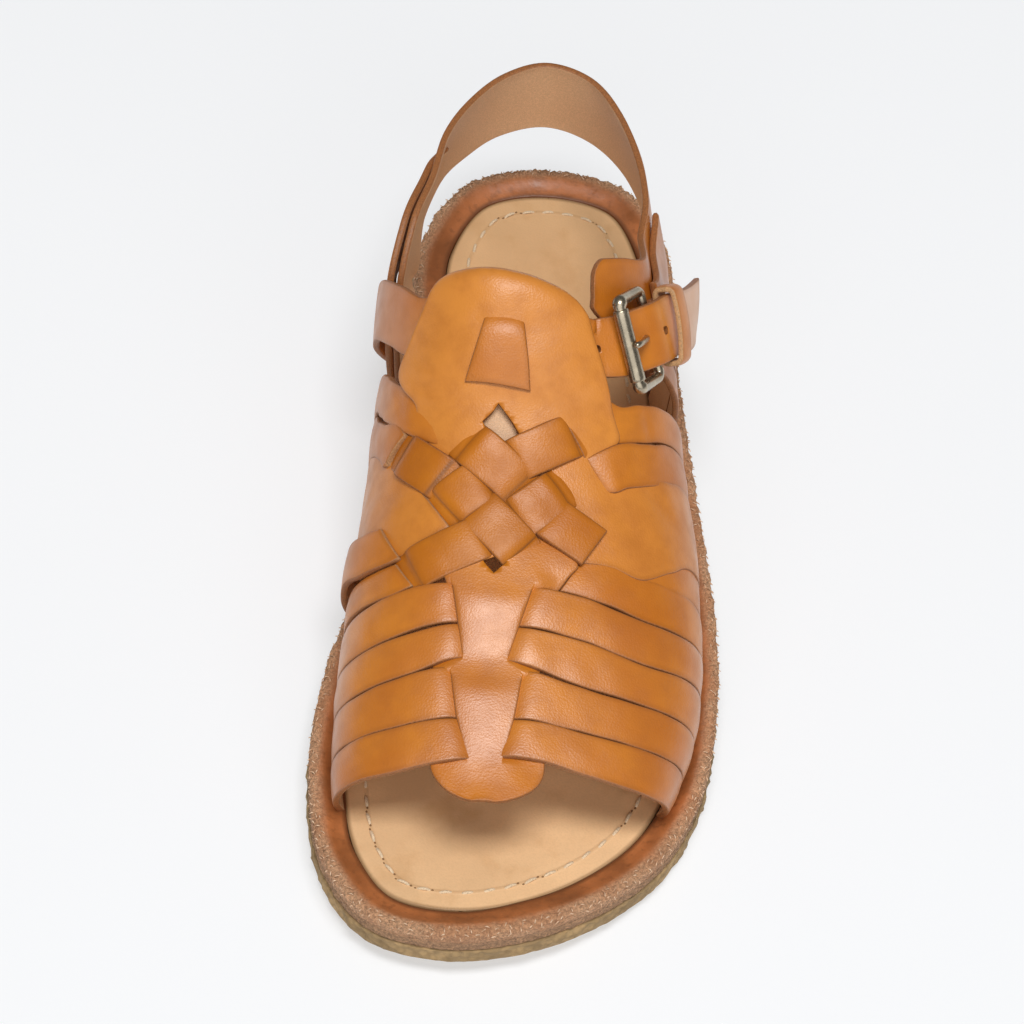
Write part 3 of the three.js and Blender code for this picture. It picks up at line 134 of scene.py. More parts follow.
# Straps that cross the foot: girth, front and back station, lift
CROSS_STRAPS = {
    "front_strap_fore_half": (
        (-70, 235, 228.5, 1), (-56, 239.5, 229.5, 1), (-44, 242, 230.3, 1), (-26, 242.5, 229.5, 1.4),
        (-12, 240.5, 228, 1.8), (0, 238.5, 227.3, 1.2), (12, 238, 227, 1.8), (30, 240, 228.3, 1.4),
        (44, 240, 228.3, 1), (57, 237.5, 227, 1), (78, 231, 223.3, 1),
    ),
    "front_strap_rear_half": (
        (-72, 228, 215.5, 1), (-56, 229, 216.5, 1), (-42, 229.7, 216.8, 1), (-24, 229, 214.7, 1.4),
        (-12, 227.5, 212.6, 1.8), (0, 226.8, 212.4, 1.2), (12, 226.5, 212.6, 1.8), (30, 227.8, 215.6, 1.4),
        (46, 227.8, 216, 1), (60, 226, 215, 1), (84, 222.7, 213, 1),
    ),
    "second_strap_fore_half": (
        (-74, 215.1, 203.6, 1), (-56, 216.2, 204.3, 1), (-40, 216.5, 204.4, 1), (-22, 214.3, 202.4, 1.4),
        (-10, 210.5, 200.4, 1.8), (0, 209.5, 199.8, 1.2), (10, 211, 200.5, 1.8), (26, 214.9, 202, 1.4),
        (44, 215.9, 204.6, 1), (66, 214.7, 202, 1), (92, 212.9, 199.8, 1),
    ),
    "second_strap_rear_half": (
        (-78, 203, 190, 1), (-56, 203.7, 190.6, 1), (-40, 203.8, 190.3, 1), (-24, 201.8, 189, 1.4),
        (-12, 199.8, 188.3, 1.8), (0, 199.2, 187.8, 1.2), (12, 199.9, 188.3, 1.8), (26, 201.4, 189.1, 1.4),
        (44, 204, 191.6, 1), (66, 201.4, 190.1, 1), (96, 199.2, 187.1, 1),
    ),
    "outer_side_strip": (
        (21.8, 188.2, 179.8, 0.2), (27, 189, 178, 0.6), (34, 189.9, 177.4, 0.8), (46, 191.3, 178, 0.8),
        (66, 189.8, 176.6, 0.8), (98, 186.8, 174.6, 1),
    ),
    "outer_panel_foot": (
        (44, 180.4, 172, 0.8), (54, 179.2, 168, 0.8), (66, 177, 164, 0.8), (100, 174, 160, 0.8),
    ),
    "outer_panel": (
        (14, 176, 152, 0.7), (24, 179, 147, 0.8), (34, 178.6, 147, 1), (44, 179.6, 149, 1.3),
        (54, 173.4, 146, 1.5), (66, 167, 142.5, 1.4), (102, 163.4, 138, 1),
    ),
    "outer_front_side_strap": (
        (28.8, 157, 149.5, 0.9), (32.5, 157, 146, 1.9), (37, 155.2, 142.4, 2.2), (45, 151.5, 139.5, 1.8),
        (60, 144.7, 133.5, 1.3), (84, 139, 128.5, 1), (110, 136.8, 126, 1),
    ),
    "outer_rear_side_strap": (
        (26, 143, 131, 1.1), (36, 142.8, 132.8, 1.2), (45, 139.3, 129, 1.1), (59, 133.6, 124.3, 1),
        (86, 128, 119, 1), (114, 125.4, 116.6, 1),
    ),
    "inner_front_strip": (
        (-82, 187, 177, 1), (-52, 188.4, 178, 1), (-36, 189.5, 180, 1.2), (-29, 189.7, 180.4, 1.6),
        (-24.2, 188.2, 180.4, 1.9),
    ),
    "inner_loop": (
        (-84, 175.6, 163.6, 1), (-62, 176, 164, 3), (-50, 176.8, 164.4, 3.6), (-40, 179.5, 166.5, 3.2),
        (-33, 180.3, 167.6, 2.8), (-29.2, 179.6, 168, 2.5),
    ),
    "inner_panel": (
        (-90, 166, 130, 1), (-58, 168, 133, 1), (-44, 174, 140.5, 1), (-33, 177.5, 147.5, 1),
        (-24, 178, 156, 1.2), (-15.2, 172.5, 162.5, 1.9),
    ),
    "inner_front_side_strap": (
        (-98, 130, 118.6, 1), (-62, 134.6, 122.6, 1), (-49, 138.7, 129.3, 1.2), (-40, 144.5, 134.6, 1.7),
        (-34, 148, 138.3, 2.2), (-30.8, 147.6, 143, 2.5),
    ),
    "inner_rear_side_strap": (
        (-104, 117.6, 108, 1), (-62, 121.8, 112.6, 1), (-48, 129, 118.5, 1.2), (-41.5, 133.2, 122.5, 1.5),
        (-35.5, 137, 126.2, 1.8), (-27, 142.6, 131, 2), (-20, 147, 136, 1.5), (-14, 150, 140, 0.5),
    ),
}

# Slanted ends: girth of the front corner over that of the back corner, at the first and at the last row
END_SLANTS = {
    "outer_side_strip": (-5.5, 0), "outer_front_side_strap": (6.5, 0), "inner_front_strip": (0, 5.5),
    "inner_loop": (0, 7.5), "inner_panel": (0, 7.5), "inner_front_side_strap": (0, -7.5),
}
SLANT_REACH = 9.0

# Shift of the edges along which a strap is slit in halves: none, rear half, fore half
SLIT_CLOSING = (0, 0.22, -0.22)

# Centre piece: outline as station, inner and outer girth
CENTRE_OUTLINE = (
    (172.5, -4, 10), (174.5, -8, 14.5), (177, -12, 20), (180, -15, 24.2), (184, -15, 21.6),
    (188, -12.5, 19), (195, -13, 14), (203, -14, 14), (207, -15, 14), (213, -15.5, 14.5), (219, -15, 14.5),
    (228, -15, 15), (236, -15, 16.5), (240, -15, 16.6), (243, -14.3, 16), (246, -12.3, 14),
    (248.5, -9.5, 10.5), (250.2, -6, 6.5), (250.8, -3, 3.5),
)

# Lines of its slits as station, inner and outer girth, and where they are open
CENTRE_SLITS = (
    (172.5, -2, 5), (180, -8, 10), (186, -11.2, 12.2), (200, -9, 8), (210.5, -7.3, 5), (213.5, -10.5, 9.5),
    (227, -8.4, 7.6), (240, -4.8, 4.6), (246, -4, 4.5), (250.8, -1.2, 1.5),
)
SLIT_ZONES = ((188, 210.5), (213.4, 239.5))
SLIT_HALF_GAP = 0.15
SLIT_RAMP = 1.6
BRIDGE_RAMP = 7.0
BRIDGE_PILLOW = 0.4

# Gloss of the centre piece, less on its tab, and where along it the tab begins
CENTRE_GLOSS = (0.85, 0.2)
TAB_BEGINS = (0.83, 0.9)

# Lift of the centre piece by station: beside the slits and between them
CENTRE_LIFT = (
    (172.5, 0.2, 0.2), (175, 0.9, 0.9), (178, 1.5, 1.5), (182, 1.7, 2), (186, 1.2, 2.5),
    (189.5, 0.4, 2.85), (192.5, 0.3, 3), (196, 0.3, 2.85), (201, 0.3, 2.4), (206, 0.3, 1.95),
    (209, 0.4, 1.8), (211.5, 0.6, 1.85), (214, 0.6, 2.1), (217, 0.4, 2.45), (219.5, 0.3, 2.65),
    (223, 0.3, 2.6), (229, 0.3, 2.1), (235, 0.3, 1.5), (238, 0.35, 1.25), (240, 0.45, 1.05),
    (243, 0.55, 0.8), (246, 0.7, 0.7), (250.8, 1, 1),
)

# Pieces that run along the foot: station, inner and outer girth, slant, lift
LONG_PIECES = {
    "tongue": (
        (128, -20, 20, 0.12, -1.35), (116, -22.5, 22.5, 0.12, -1.35), (112.2, -21, 21.5, 0.12, -1.05),
        (110, -19, 19.5, 0.12, 0), (109.2, -16, 15.5, 0.12, 1.3), (110.2, -19.5, 20, 0.12, 2.7),
        (112.2, -21.8, 23.3, 0.12, 3.6), (116, -24, 25, 0.11, 4), (122, -28.5, 28, 0.08, 4),
        (127, -31.5, 30, 0.05, 4), (131, -29.5, 31.5, 0.03, 3.6), (135, -25, 32.7, 0, 2.8),
        (138, -24, 34.3, 0, 2.1), (142, -25.5, 35.8, 0, 1.8), (146, -24, 32, 0, 1.4),
        (152, -15, 24, 0, 0.6),
    ),
    "locking_tab": (
        (118.6, -4.4, 5.4, 0.06, 3), (120, -4.7, 5.6, 0.06, 4.3), (122.5, -5.2, 6.1, 0.06, 5.3),
        (128, -6.7, 7.3, 0.06, 5.3), (132.5, -8, 8, 0.08, 4.8), (135, -8.7, 8.4, 0.1, 4.4),
    ),
}

# Edges of the centre piece's bridges over the straps: station, inner and outer girth
BRIDGES = {
    "front": ((213, -11, 10), (227, -8.4, 7.6), (240, -4.8, 4.6)),
    "second": ((186, -11.2, 12.2), (200, -9, 8), (212, -7.2, 4.8)),
}

# Lift of a strap by its distance outside a bridge, where it dives through the slit and runs on below
STRAP_DIVE = (
    (-9, 0.1), (-5, 0.1), (-2.6, 0.35), (-1, 1), (0.4, 1.6), (2, 2.15), (4.5, 2.4), (9, 2.1), (15, 1.55),
    (24, 1.1),
)

# Woven strips: station, girth and lift of the middle line
WOVEN_STRIPS = {
    "inner_down_strip": (
        (143.5, -32.5, -0.2), (147.5, -28, 1.6), (152.5, -22, 2.7), (157.3, -16, 2.3), (162.5, -9.7, 1),
        (168, -3.5, 2.4), (172.5, 1.5, 2.8), (176.5, 5.7, 2.4), (179, 8.5, 1.2), (181, 10.6, -0.4),
    ),
    "outer_down_strip": (
        (147, -10.3, -0.2), (149.2, -7.5, 1.5), (151.8, -4, 2.5), (155.5, 0.7, 2.7), (160, 6.5, 2.2),
        (164.5, 12, 1), (168.5, 17, 2.4), (171.5, 22.5, 2.9), (174.5, 28.5, 2.9),
    ),
    "rear_cross_strip": (
        (142.6, 25, -0.5), (144, 22.6, 1.4), (147, 17.2, 2.4), (149.8, 12.4, 2.8), (152.8, 7, 2.4),
        (156.5, 1, 1), (160.3, -4.8, 2.4), (163.3, -9, 2.7), (165.8, -12.4, 1.9), (167.3, -14.4, 0.7),
        (168.8, -16.5, -0.4),
    ),
    "front_cross_strip": (
        (157.6, 21.2, -0.6), (159.3, 19.2, 1.3), (162.2, 15.6, 2.4), (165.2, 12, 2.8), (168.6, 7.7, 2.3),
        (172.3, 1.8, 1), (176, -4.5, 2.4), (179.5, -12, 2.8), (182.8, -20, 2.1), (184.6, -24.5, 0.7),
        (186, -28, -0.5),
    ),
}
WEAVE_DOME = 0.3
WEAVE_TONES = (-0.75, -0.5, -0.5, -0.65)

# Steps of the weave: middle lift, swing above and below it, lift in the table that counts as the middle
WEAVE_LEVELS = (1.9, 0.9, 2.2)
WEAVE_STEEPNESS = 3.0

# Painted shade where a strip dips under the next: depth of tone, width as a share of the swing
WEAVE_PAINTED_SHADE = (1.1, 0.35)

# Lips of slits that strips go into: ends of the slit, way the lip runs, lift at the slit and at its far edge
SLIT_LIPS = {
    "rear_cross_lip": (140.4, 17.4, 149.8, 25, -2.4, 4, 2.6, 0.9),
}

# Creases by piece: station and girth of both ends, half width, depth, below zero for a ridge
CREASES = {
    "tongue": (
        (125, -25, 133, -11, 0.9, 0.4), (128, -27, 135, -15, 0.8, 0.34), (131, -25, 138, -13, 0.9, 0.42),
        (134, -22, 141, -11, 1.1, -0.34), (122, 27, 131, 17, 1.2, 0.32), (127, 29, 136, 20, 1.2, 0.34),
        (118.3, -8, 119.6, -4.8, 2.2, 0.5), (118.8, 8.8, 120, 5.6, 2.2, 0.5),
        (122, -9.5, 133, -12.5, 2.4, 0.25),
    ),
    "outer_panel": (
        (158, 30, 170, 44, 2.5, 0.3), (166, 28, 176, 38, 2.2, -0.22), (152, 44, 160, 58, 2, 0.25),
    ),
    "inner_panel": ((160, -30, 150, -46, 2.4, 0.3), (170, -26, 163, -44, 2.2, -0.22)),
    "outer_front_side_strap": ((146, 33.5, 154, 38, 1.3, 0.28),),
    "outer_rear_side_strap": ((130.5, 44.5, 138, 47.5, 1.6, 0.32),),
    "inner_rear_side_strap": ((128, -34, 139, -28, 1.5, 0.25),),
    "ankle_strap_band": ((92, 66, 108, 76, 2, 0.25),),
}

# Openings of the weave: pieces that are cut, and corners as station and girth
WEAVE_HOLES = {
    "light_hole": (("tongue",), ((144, -4), (139.5, 0), (146.5, 6), (152, 2))),
    "dark_hole": (("centre_piece",), ((182, -2.5), (180.5, 1), (182, 4), (185.5, 0.5))),
}

# Reach of the cut below and above the last, and shade of the cut walls as a distance from the edge
OPENING_REACH = (-7, 9)
CUT_EDGE = 0.38

# Pale sheet under the tongue whose flesh side paints the light on the insole seen through the opening:
# stations, girths, lift
PAINTED_LIGHT_SHEET = ((134, 157), (-9, 11))
PAINTED_LIGHT_SHEET_LIFT = -1.0

# Ankle strap: station, girth, width and lift of its middle line
ANKLE_STRAP = (
    (76, -134, 18, 4.8), (80, -108, 18, 4.9), (87, -84, 18, 4), (95, -64, 18, 3.6), (106, -44, 18, 2.2),
    (115.6, -28, 17.6, 1.3), (119.7, -10, 17.4, 1.3), (122, 10, 17, 1.3), (121.9, 25, 16.8, 1.4),
    (120.4, 30, 17.4, 1.7), (117.8, 36, 18.2, 3), (113.8, 42, 18.6, 5), (110.2, 47, 18.6, 6.6),
    (105.2, 54, 18.6, 6.2), (99.4, 64, 18.6, 5.8), (89.6, 80, 18.6, 6.6), (77.8, 97, 18.6, 9),
)
TAIL_SLANT = 7.0
TAIL_LENGTH = 52.0
ANKLE_STRAP_WIDTH = 18.6
STRAP_HOLE_GIRTHS = (27.5, 49.0)
STRAP_HOLE_RADIUS = 1.2

# Heel strap: edges on the last as low station, low girth, high station, high girth, lift
HEEL_STRAP_TAB = ((113, 27, 100.4, 26.8, -1), (113, 48, 95.2, 39.5, -2), (103, 76, 88.5, 53.5, -2))
HEEL_STRAP_LEG = ((67, -104, 92, -64, -0.8), (71, -120, 103, -90, 0.3), (73, -138, 107, -124, 0.4))
TAB_CORNER = 5.0

# Heel strap behind the foot: low x, station, z and high x, station, z
HEEL_STRAP_BACK = (
    (36, 82, 52, 27, 73, 79.5), (34, 60, 51, 28.3, 59, 79), (30.6, 42, 51.5, 25.8, 43.5, 79),
    (23.5, 25.5, 52, 19.8, 26, 79), (12.4, 13.5, 52, 10.4, 12.5, 79), (-2, 8.5, 52, -3, 7.5, 79),
    (-16.4, 13.5, 52, -15.4, 13, 79), (-26.4, 23, 52, -24.8, 23.5, 79), (-34.1, 34, 51.5, -32, 38, 79.5),
    (-38.6, 50, 49, -35.4, 56, 80), (-38.8, 61, 43, -40.1, 74, 79),
)

# Second layer of the inner leg, through a slot: place along the heel strap, low and high share, lifts
LEG_LAYER = (
    (11.1, 0.3, 0.8, -1.4, -1.4), (11.35, 0.25, 0.82, 0.3, 0.3), (11.7, 0.18, 0.88, 2, 1.9),
    (12.3, 0.12, 0.93, 3.2, 2.7), (13, 0.06, 0.96, 4.2, 2.9), (13.7, 0.05, 0.97, 4.6, 2.9),
    (14.4, 0.05, 0.97, 4.2, 2.8), (15.4, 0.05, 0.97, 3, 2.4),
)
# Slot of the inner leg: place along the heel strap, low and high share, half width
LEG_SLOT = (11.2, 0.32, 0.78, 1.0)

# Quarter: girth, front and back station, lift
QUARTER_STRIPS = {
    "quarter_rear_strip": (
        (136, 103, 86, 1), (106, 103.4, 87, 1), (92, 104.2, 88, 1), (76, 105.4, 90, 0.9),
        (60, 107, 94, 0.4),
    ),
    "quarter_front_strip": (
        (136, 108.6, 103.6, 1), (106, 109.6, 104, 1), (92, 110.8, 104.8, 1), (76, 112.2, 106, 0.9),
        (60, 114, 107, 0.4),
    ),
    "quarter_buckle_end": ((72, 112.4, 91, 0.7), (60, 114.5, 95, 0.5), (52, 117.5, 99.5, 0.5)),
}

# Locking end of the quarter over the heel strap: place along it, low and high share of its width
LOCK_STRIP = ((1.8, 0.16, 0.78), (2.5, 0.16, 0.78), (3.2, 0.12, 0.82), (3.9, 0.08, 0.86))
LOCK_STRIP_LIFT = 2.45

# Buckle and keeper
ROLLER_CLEARANCE = 1.1
HINGE_CLEARANCE = 0.9
ROLLER_GIRTH = 36.0
HINGE_BAR_GIRTH = 47.0
BUCKLE_WIDTH = 26.0
BUCKLE_CORNER = 2.0
BAR_RADIUS = 1.5
LUG_SWELL = 0.7
ROLLER_RADIUS = 2.3
ROLLER_LENGTH = 21.2
PRONG_RADIUS = 0.95
PIECE_GAP = 0.35
KEEPER_GIRTH = 55.2
KEEPER_WIDTH = 7.0
KEEPER_THICKNESS = 1.6
KEEPER_CORNER = 2.4
KEEPER_ARCH = 1.0

# Prong between the hinge bar and the roller: along the strap and over the frame's plane
PRONG_RISE = ((3.4, -2.6), (2, -1.6), (1.2, 0.4), (0.2, 2.2), (-1.8, 2.9))

# Camera: the photograph's viewpoint, aimed at the one shoe
CAMERA_PLACE = (-26.48, -643.86, 927.7)
CAMERA_AIM = (-5.05, -4.63, 35.0)
CAMERA_ROLL = math.radians(-5.6)
CAMERA_LENS = 131.5

# Lights: place and size in metres, power in watts, colour
LIGHTS = {
    "key_light": ((0.06, -0.4, 2.0), (0.95, 0.56), 27.5, (1, 0.99, 0.98)),
    "front_light": ((0.2, -1.9, 1.35), (3.0, 1.8), 20, (1, 1, 1)),
}
LIGHT_AIM = (0, 0, 0.03)
WORLD_STRENGTH = 0.16


# Curves and tables

def read_rows(table, places):
    """Smooth curve through the rows of a table, one column for each value."""
    table = np.asarray(table, float)
    end = len(table) - 1
    i = np.clip(np.floor(places).astype(int), 0, end - 1)
    t = (places - i)[:, None]
    p0, p1, p2, p3 = (table[np.clip(i + k, 0, end)] for k in (-1, 0, 1, 2))
    start, stop = (p2 - p0) / 2, (p3 - p1) / 2
    cubic = 2 * (p1 - p2) + start + stop
    square = 3 * (p2 - p1) - 2 * start - stop
    return ((cubic * t + square) * t + start) * t + p1


def close_places(table, columns, step):
    """Row places close enough that neighbours lie about one step apart."""
    table = np.asarray(table, float)
    gaps = np.linalg.norm(np.diff(table[:, columns], axis=0), axis=1)
    places = []
    for i, gap in enumerate(gaps):
        count = max(1, round(gap / step))
        places += [i + k / count for k in range(count)]
    return np.array(places + [len(table) - 1.0])


def row_place(table, column, value):
    """Row place at which a rising column has the value."""
    fine = np.linspace(0, len(table) - 1, 40 * len(table))
    return np.interp(value, read_rows(table, fine)[:, column], fine)


def smooth_step(t):
    t = np.clip(t, 0, 1)
    return t * t * (3 - 2 * t)


def unit(vectors):
    return vectors / np.maximum(np.linalg.norm(vectors, axis=-1, keepdims=True), 1e-9)


def ripple(points, length, seed):
    """Smooth unevenness between about -1 and 1 with a typical length in millimetres."""
    random = np.random.default_rng(seed)
    waves = random.normal(size=(9, 3)) * (2 * math.pi / length) * random.uniform(0.5, 1.3, size=(9, 1))
    phases = random.uniform(0, 2 * math.pi, 9)
    return np.sin(points @ waves.T + phases).sum(-1) / 3


# Sole

def sole_base(station):
    shank = (station - HEEL_BREAST_STATION) / (SHANK_END_STATION - HEEL_BREAST_STATION)
    toe = np.maximum(0, (station - TOE_SPRING_START) / (SHOE_LENGTH - TOE_SPRING_START))
    return HEEL_LIFT_HEIGHT * (1 - smooth_step(shank)) + TOE_SPRING * toe * toe


def outline_at(shares):
    """Closed centripetal curve through the outline's points."""
    knots = np.array(SOLE_OUTLINE, float)
    count = len(knots)
    place = np.mod(shares, 1) * count
    i = np.floor(place).astype(int) % count
    t = (place - np.floor(place))[:, None]
    p0, p1, p2, p3 = (knots[(i + k) % count] for k in (-1, 0, 1, 2))
    d0, d1, d2 = (np.sqrt(np.linalg.norm(b - a, axis=1))[:, None] for a, b in ((p0, p1), (p1, p2), (p2, p3)))
    start = ((p1 - p0) / d0 - (p2 - p0) / (d0 + d1) + (p2 - p1) / d1) * d1
    stop = ((p2 - p1) / d1 - (p3 - p1) / (d1 + d2) + (p3 - p2) / d2) * d1
    cubic = 2 * (p1 - p2) + start + stop
    square = 3 * (p2 - p1) - 2 * start - stop
    return ((cubic * t + square) * t + start) * t + p1


def outline_loop(inset, count):
    """Outline moved in from the edge as x and station, outer side from heel to toe, then inner side back."""
    shares = np.arange(count) / count
    tangent = unit(outline_at(shares + 1e-4) - outline_at(shares - 1e-4))
    inward = np.stack([-tangent[:, 1], tangent[:, 0]], axis=1)
    return outline_at(shares) + inward * np.reshape(inset, (-1, 1))


def shoe_points(x, station, z):
    return np.stack(np.broadcast_arrays(x, -np.asarray(station, float), z), axis=-1)


# Last, as a chart of points over station and girth

class Last:
    """Points of the last on a fine chart, read by bilinear interpolation."""

    stations = np.arange(54.0, 266.01, 1.0)
    girths = np.arange(-160.0, 160.01, 1.0)

    def __init__(self):
        loop = outline_loop(np.array([FEATHER_MARGIN]), 800)
        outer, inner = loop[:400], loop[400:][::-1]
        rows = read_rows(LAST_SECTIONS, row_place(LAST_SECTIONS, 0, self.stations))
        self.chart = np.zeros((len(self.stations), len(self.girths), 3))
        for k, station in enumerate(self.stations):
            for side, half in ((1, outer), (-1, inner)):
                feather = abs(np.interp(station, half[:, 1], half[:, 0]))
                x, z = self.half_section(rows[k], station, side, feather)
                run = np.concatenate([[0], np.cumsum(np.hypot(np.diff(x), np.diff(z)))])
                on_side = self.girths * side >= 0
                reach = np.abs(self.girths[on_side])
                self.chart[k, on_side, 0] = np.interp(reach, run, x)
                self.chart[k, on_side, 2] = np.interp(reach, run, z)
            self.chart[k, :, 1] = -station

    @staticmethod
    def half_section(row, station, side, feather):
        _, medial, lateral, ridge, height, squareness = row
        widest = max(lateral if side > 0 else medial, feather)
        level = height * WIDEST_LEVEL
        footbed = sole_base(station) + FOOTBED_RISE
        angle = np.linspace(math.pi / 2, 0, 90)
        x = ridge + side * (widest - side * ridge) * np.cos(angle).clip(0) ** (2 / squareness)
        z = footbed + level + (height - level) * np.sin(angle).clip(0) ** (2 / squareness)
        low = np.linspace(1, 0, 25)[1:]
        x_low = side * (feather + (widest - feather) * np.sin(math.pi / 2 * low))
        x = np.concatenate([x, x_low, [side * feather]])
        z = np.concatenate([z, footbed + level * low, [footbed - FOOT_EXTENSION]])
        return x, z

    def point(self, station, girth):
        a = np.clip((station - self.stations[0]), 0, len(self.stations) - 1.001)
        b = np.clip((girth - self.girths[0]), 0, len(self.girths) - 1.001)
        i, j = np.floor(a).astype(int), np.floor(b).astype(int)
        s, t = (a - i)[..., None], (b - j)[..., None]
        c = self.chart
        near = c[i, j] * (1 - t) + c[i, j + 1] * t
        far = c[i + 1, j] * (1 - t) + c[i + 1, j + 1] * t
        return near * (1 - s) + far * s

    def directions(self, station, girth, probe=1.5):
        along = (self.point(station + probe, girth) - self.point(station - probe, girth)) / (2 * probe)
        across = (self.point(station, girth + probe) - self.point(station, girth - probe)) / (2 * probe)
        return along, across, unit(np.cross(along, across))

    def lifted(self, station, girth, lift):
        station, girth, lift = np.broadcast_arrays(
            np.asarray(station, float), np.asarray(girth, float), np.asarray(lift, float))
        return self.point(station, girth) + self.directions(station, girth)[2] * lift[..., None]


LAST = Last()


def frame_shift():
    """From the shoe's own stations to the shared frame, in millimetres."""
    low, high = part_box("outsole")
    loop = outline_loop(np.array([0.0]), OUTLINE_POINTS * 4)
    x = (low.x + high.x) / 2 / MM - (loop[:, 0].min() + loop[:, 0].max()) / 2
    y = high.y / MM + loop[:, 1].min()
    return np.array([x, y, 0.0])


SHIFT = frame_shift()


# Meshes

def make_piece(name, points, faces, material, node, floats=None, uv=None):
    """Piece of the shoe from points in millimetres, riding on the part in place of a CAD node."""
    mesh = bpy.data.meshes.new(name)
    world = (np.asarray(points, float).reshape(-1, 3) + SHIFT) * MM
    mesh.from_pydata(world.tolist(), [], faces)
    mesh.polygons.foreach_set("use_smooth", [True] * len(mesh.polygons))
    for label, values in (floats or {}).items():
        layer = mesh.attributes.new(label, "FLOAT", "POINT")
        layer.data.foreach_set("value", np.asarray(values, np.float32).ravel())
    if uv is not None:
        corners = np.zeros(len(mesh.loops), np.int32)
        mesh.loops.foreach_get("vertex_index", corners)
        layer = mesh.uv_layers.new(name="sheet")
        layer.data.foreach_set("uv", np.asarray(uv, np.float32).reshape(-1, 2)[corners].ravel())
    mesh.materials.append(material)
    mesh.validate()
    piece = bpy.data.objects.new(name, mesh)
    bpy.context.scene.collection.objects.link(piece)
    return hand_over(piece, node)


def hand_over(piece, node):
    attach(piece, "root")
    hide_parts(node)
    return piece


def grid_faces(rows, columns, start=0, flip=False, closed=False):
    i, j = np.meshgrid(np.arange(rows if closed else rows - 1), np.arange(columns - 1), indexing="ij")
    a = start + i * columns + j
    b = start + ((i + 1) % rows) * columns + j
    quads = np.stack([a, b, b + 1, a + 1], axis=-1).reshape(-1, 4)
    return (quads[:, ::-1] if flip else quads).tolist()


def ring_faces(rings, count, closed=False):
    """Quads between rings of points that lie one after the other."""
    here = np.arange(count)
    ahead = (here + 1) % count
    faces = []
    for r in range(rings if closed else rings - 1):
        above = (r + 1) % rings * count
        faces += np.stack([r * count + here, r * count + ahead, above + ahead, above + here], axis=1).tolist()
    return faces


def run_lengths(grid, axis):
    steps = np.linalg.norm(np.diff(grid, axis=axis), axis=-1)
    pad = [(0, 0), (0, 0)]
    pad[axis] = (1, 0)
    return np.pad(np.cumsum(steps, axis=axis), pad)


def leather_sheet(name, middle, node, material, thickness=STRAP_THICKNESS, outward=1, ends=(True, True),
                  closed=False, dome=0.0, relief=None, tone=0.0, rounding=EDGE_ROUNDING,
                  pale_ends=(False, False), pale_rim=0.0, gloss=0.4, normal=None, slit_distance=None):
    """Sheet of leather about a grid of middle points, with rounded cut edges, grain above and flesh below."""
    rows, columns, _ = middle.shape
    if closed:
        wrapped = np.concatenate([middle[-1:], middle, middle[:1]])
        along = (wrapped[2:] - wrapped[:-2]) / 2
    else:
        along = np.gradient(middle, axis=0)
    across = np.gradient(middle, axis=1)
    if normal is None:
        normal = unit(np.cross(along, across)) * outward
    side, run = run_lengths(middle, 1), run_lengths(middle, 0)
    rim = np.minimum(side, side[:, -1:] - side)
    width = np.maximum(side[:, -1:], 1e-6)
    if not closed and ends[0]:
        rim = np.minimum(rim, run)
    if not closed and ends[1]:
        rim = np.minimum(rim, run[-1:] - run)
    if slit_distance is not None:
        rim = np.minimum(rim, slit_distance)
    pale = np.full((rows, columns), pale_rim)
    for shows, reach in zip(pale_ends, (run, run[-1:] - run)):
        pale = np.maximum(pale, PALE_END * shows * np.clip(PALE_REACH - reach, 0, 1))
    round_off = rounding - np.sqrt(np.maximum(rounding ** 2 - np.clip(rounding - rim, 0, rounding) ** 2, 0))
    half = thickness / 2 - round_off
    swell = dome * (1 - (2 * side / width - 1) ** 2)
    if relief is not None:
        swell = swell + relief * np.clip(rim / 1.2, 0, 1)
    upper = middle + normal * (half + swell)[..., None]
    lower = middle - normal * (half - swell * 0.8)[..., None]
    count = rows * columns
    turned = outward < 0
    faces = grid_faces(rows, columns, 0, turned, closed)
    faces += grid_faces(rows, columns, count, not turned, closed)
    faces += rim_faces(rows, columns, count, turned, closed)
    spread = np.concatenate([rim.ravel(), rim.ravel()])
    flesh = np.concatenate([np.zeros(count), np.ones(count)])
    sheet_uv = np.stack([run, side], axis=-1).reshape(-1, 2) * MM * 10
    floats = {"edge_distance": spread, "flesh": flesh, "pale": np.tile(pale.ravel(), 2)}
    for label, value in (("gloss", gloss), ("tone", tone)):
        by_row = np.broadcast_to(np.reshape(value, (-1, 1)), (rows, columns))
        floats[label] = np.tile(by_row.ravel(), 2)
    points = np.concatenate([upper.reshape(-1, 3), lower.reshape(-1, 3)])
    return make_piece(name, points, faces, material, node, floats, np.concatenate([sheet_uv, sheet_uv]))


def rim_faces(rows, columns, count, turned, closed):
    if closed:
        loops = [[i * columns for i in range(rows)][::-1], [i * columns + columns - 1 for i in range(rows)]]
    else:
        loop = list(range(columns))
        loop += [i * columns + columns - 1 for i in range(1, rows)]
        loop += [(rows - 1) * columns + j for j in range(columns - 2, -1, -1)]
        loop += [i * columns for i in range(rows - 2, 0, -1)]
        loops = [loop]
    faces = []
    for loop in loops:
        for a, b in zip(loop, loop[1:] + loop[:1]):
            quad = [a, b, b + count, a + count]
            faces.append(quad[::-1] if turned else quad)
    return faces


def across_shares(width, step=1.4):
    """Shares of a width in millimetres, closer together at both edges so that they can be rounded."""
    ladder = np.array([d for d in EDGE_LADDER if d < width / 2.5])
    room = width - 2 * ladder[-1]
    count = max(2, round(room / step))
    inside = ladder[-1] + np.arange(1, count) / count * room
    return np.concatenate([ladder, inside, width - ladder[::-1]]) / width


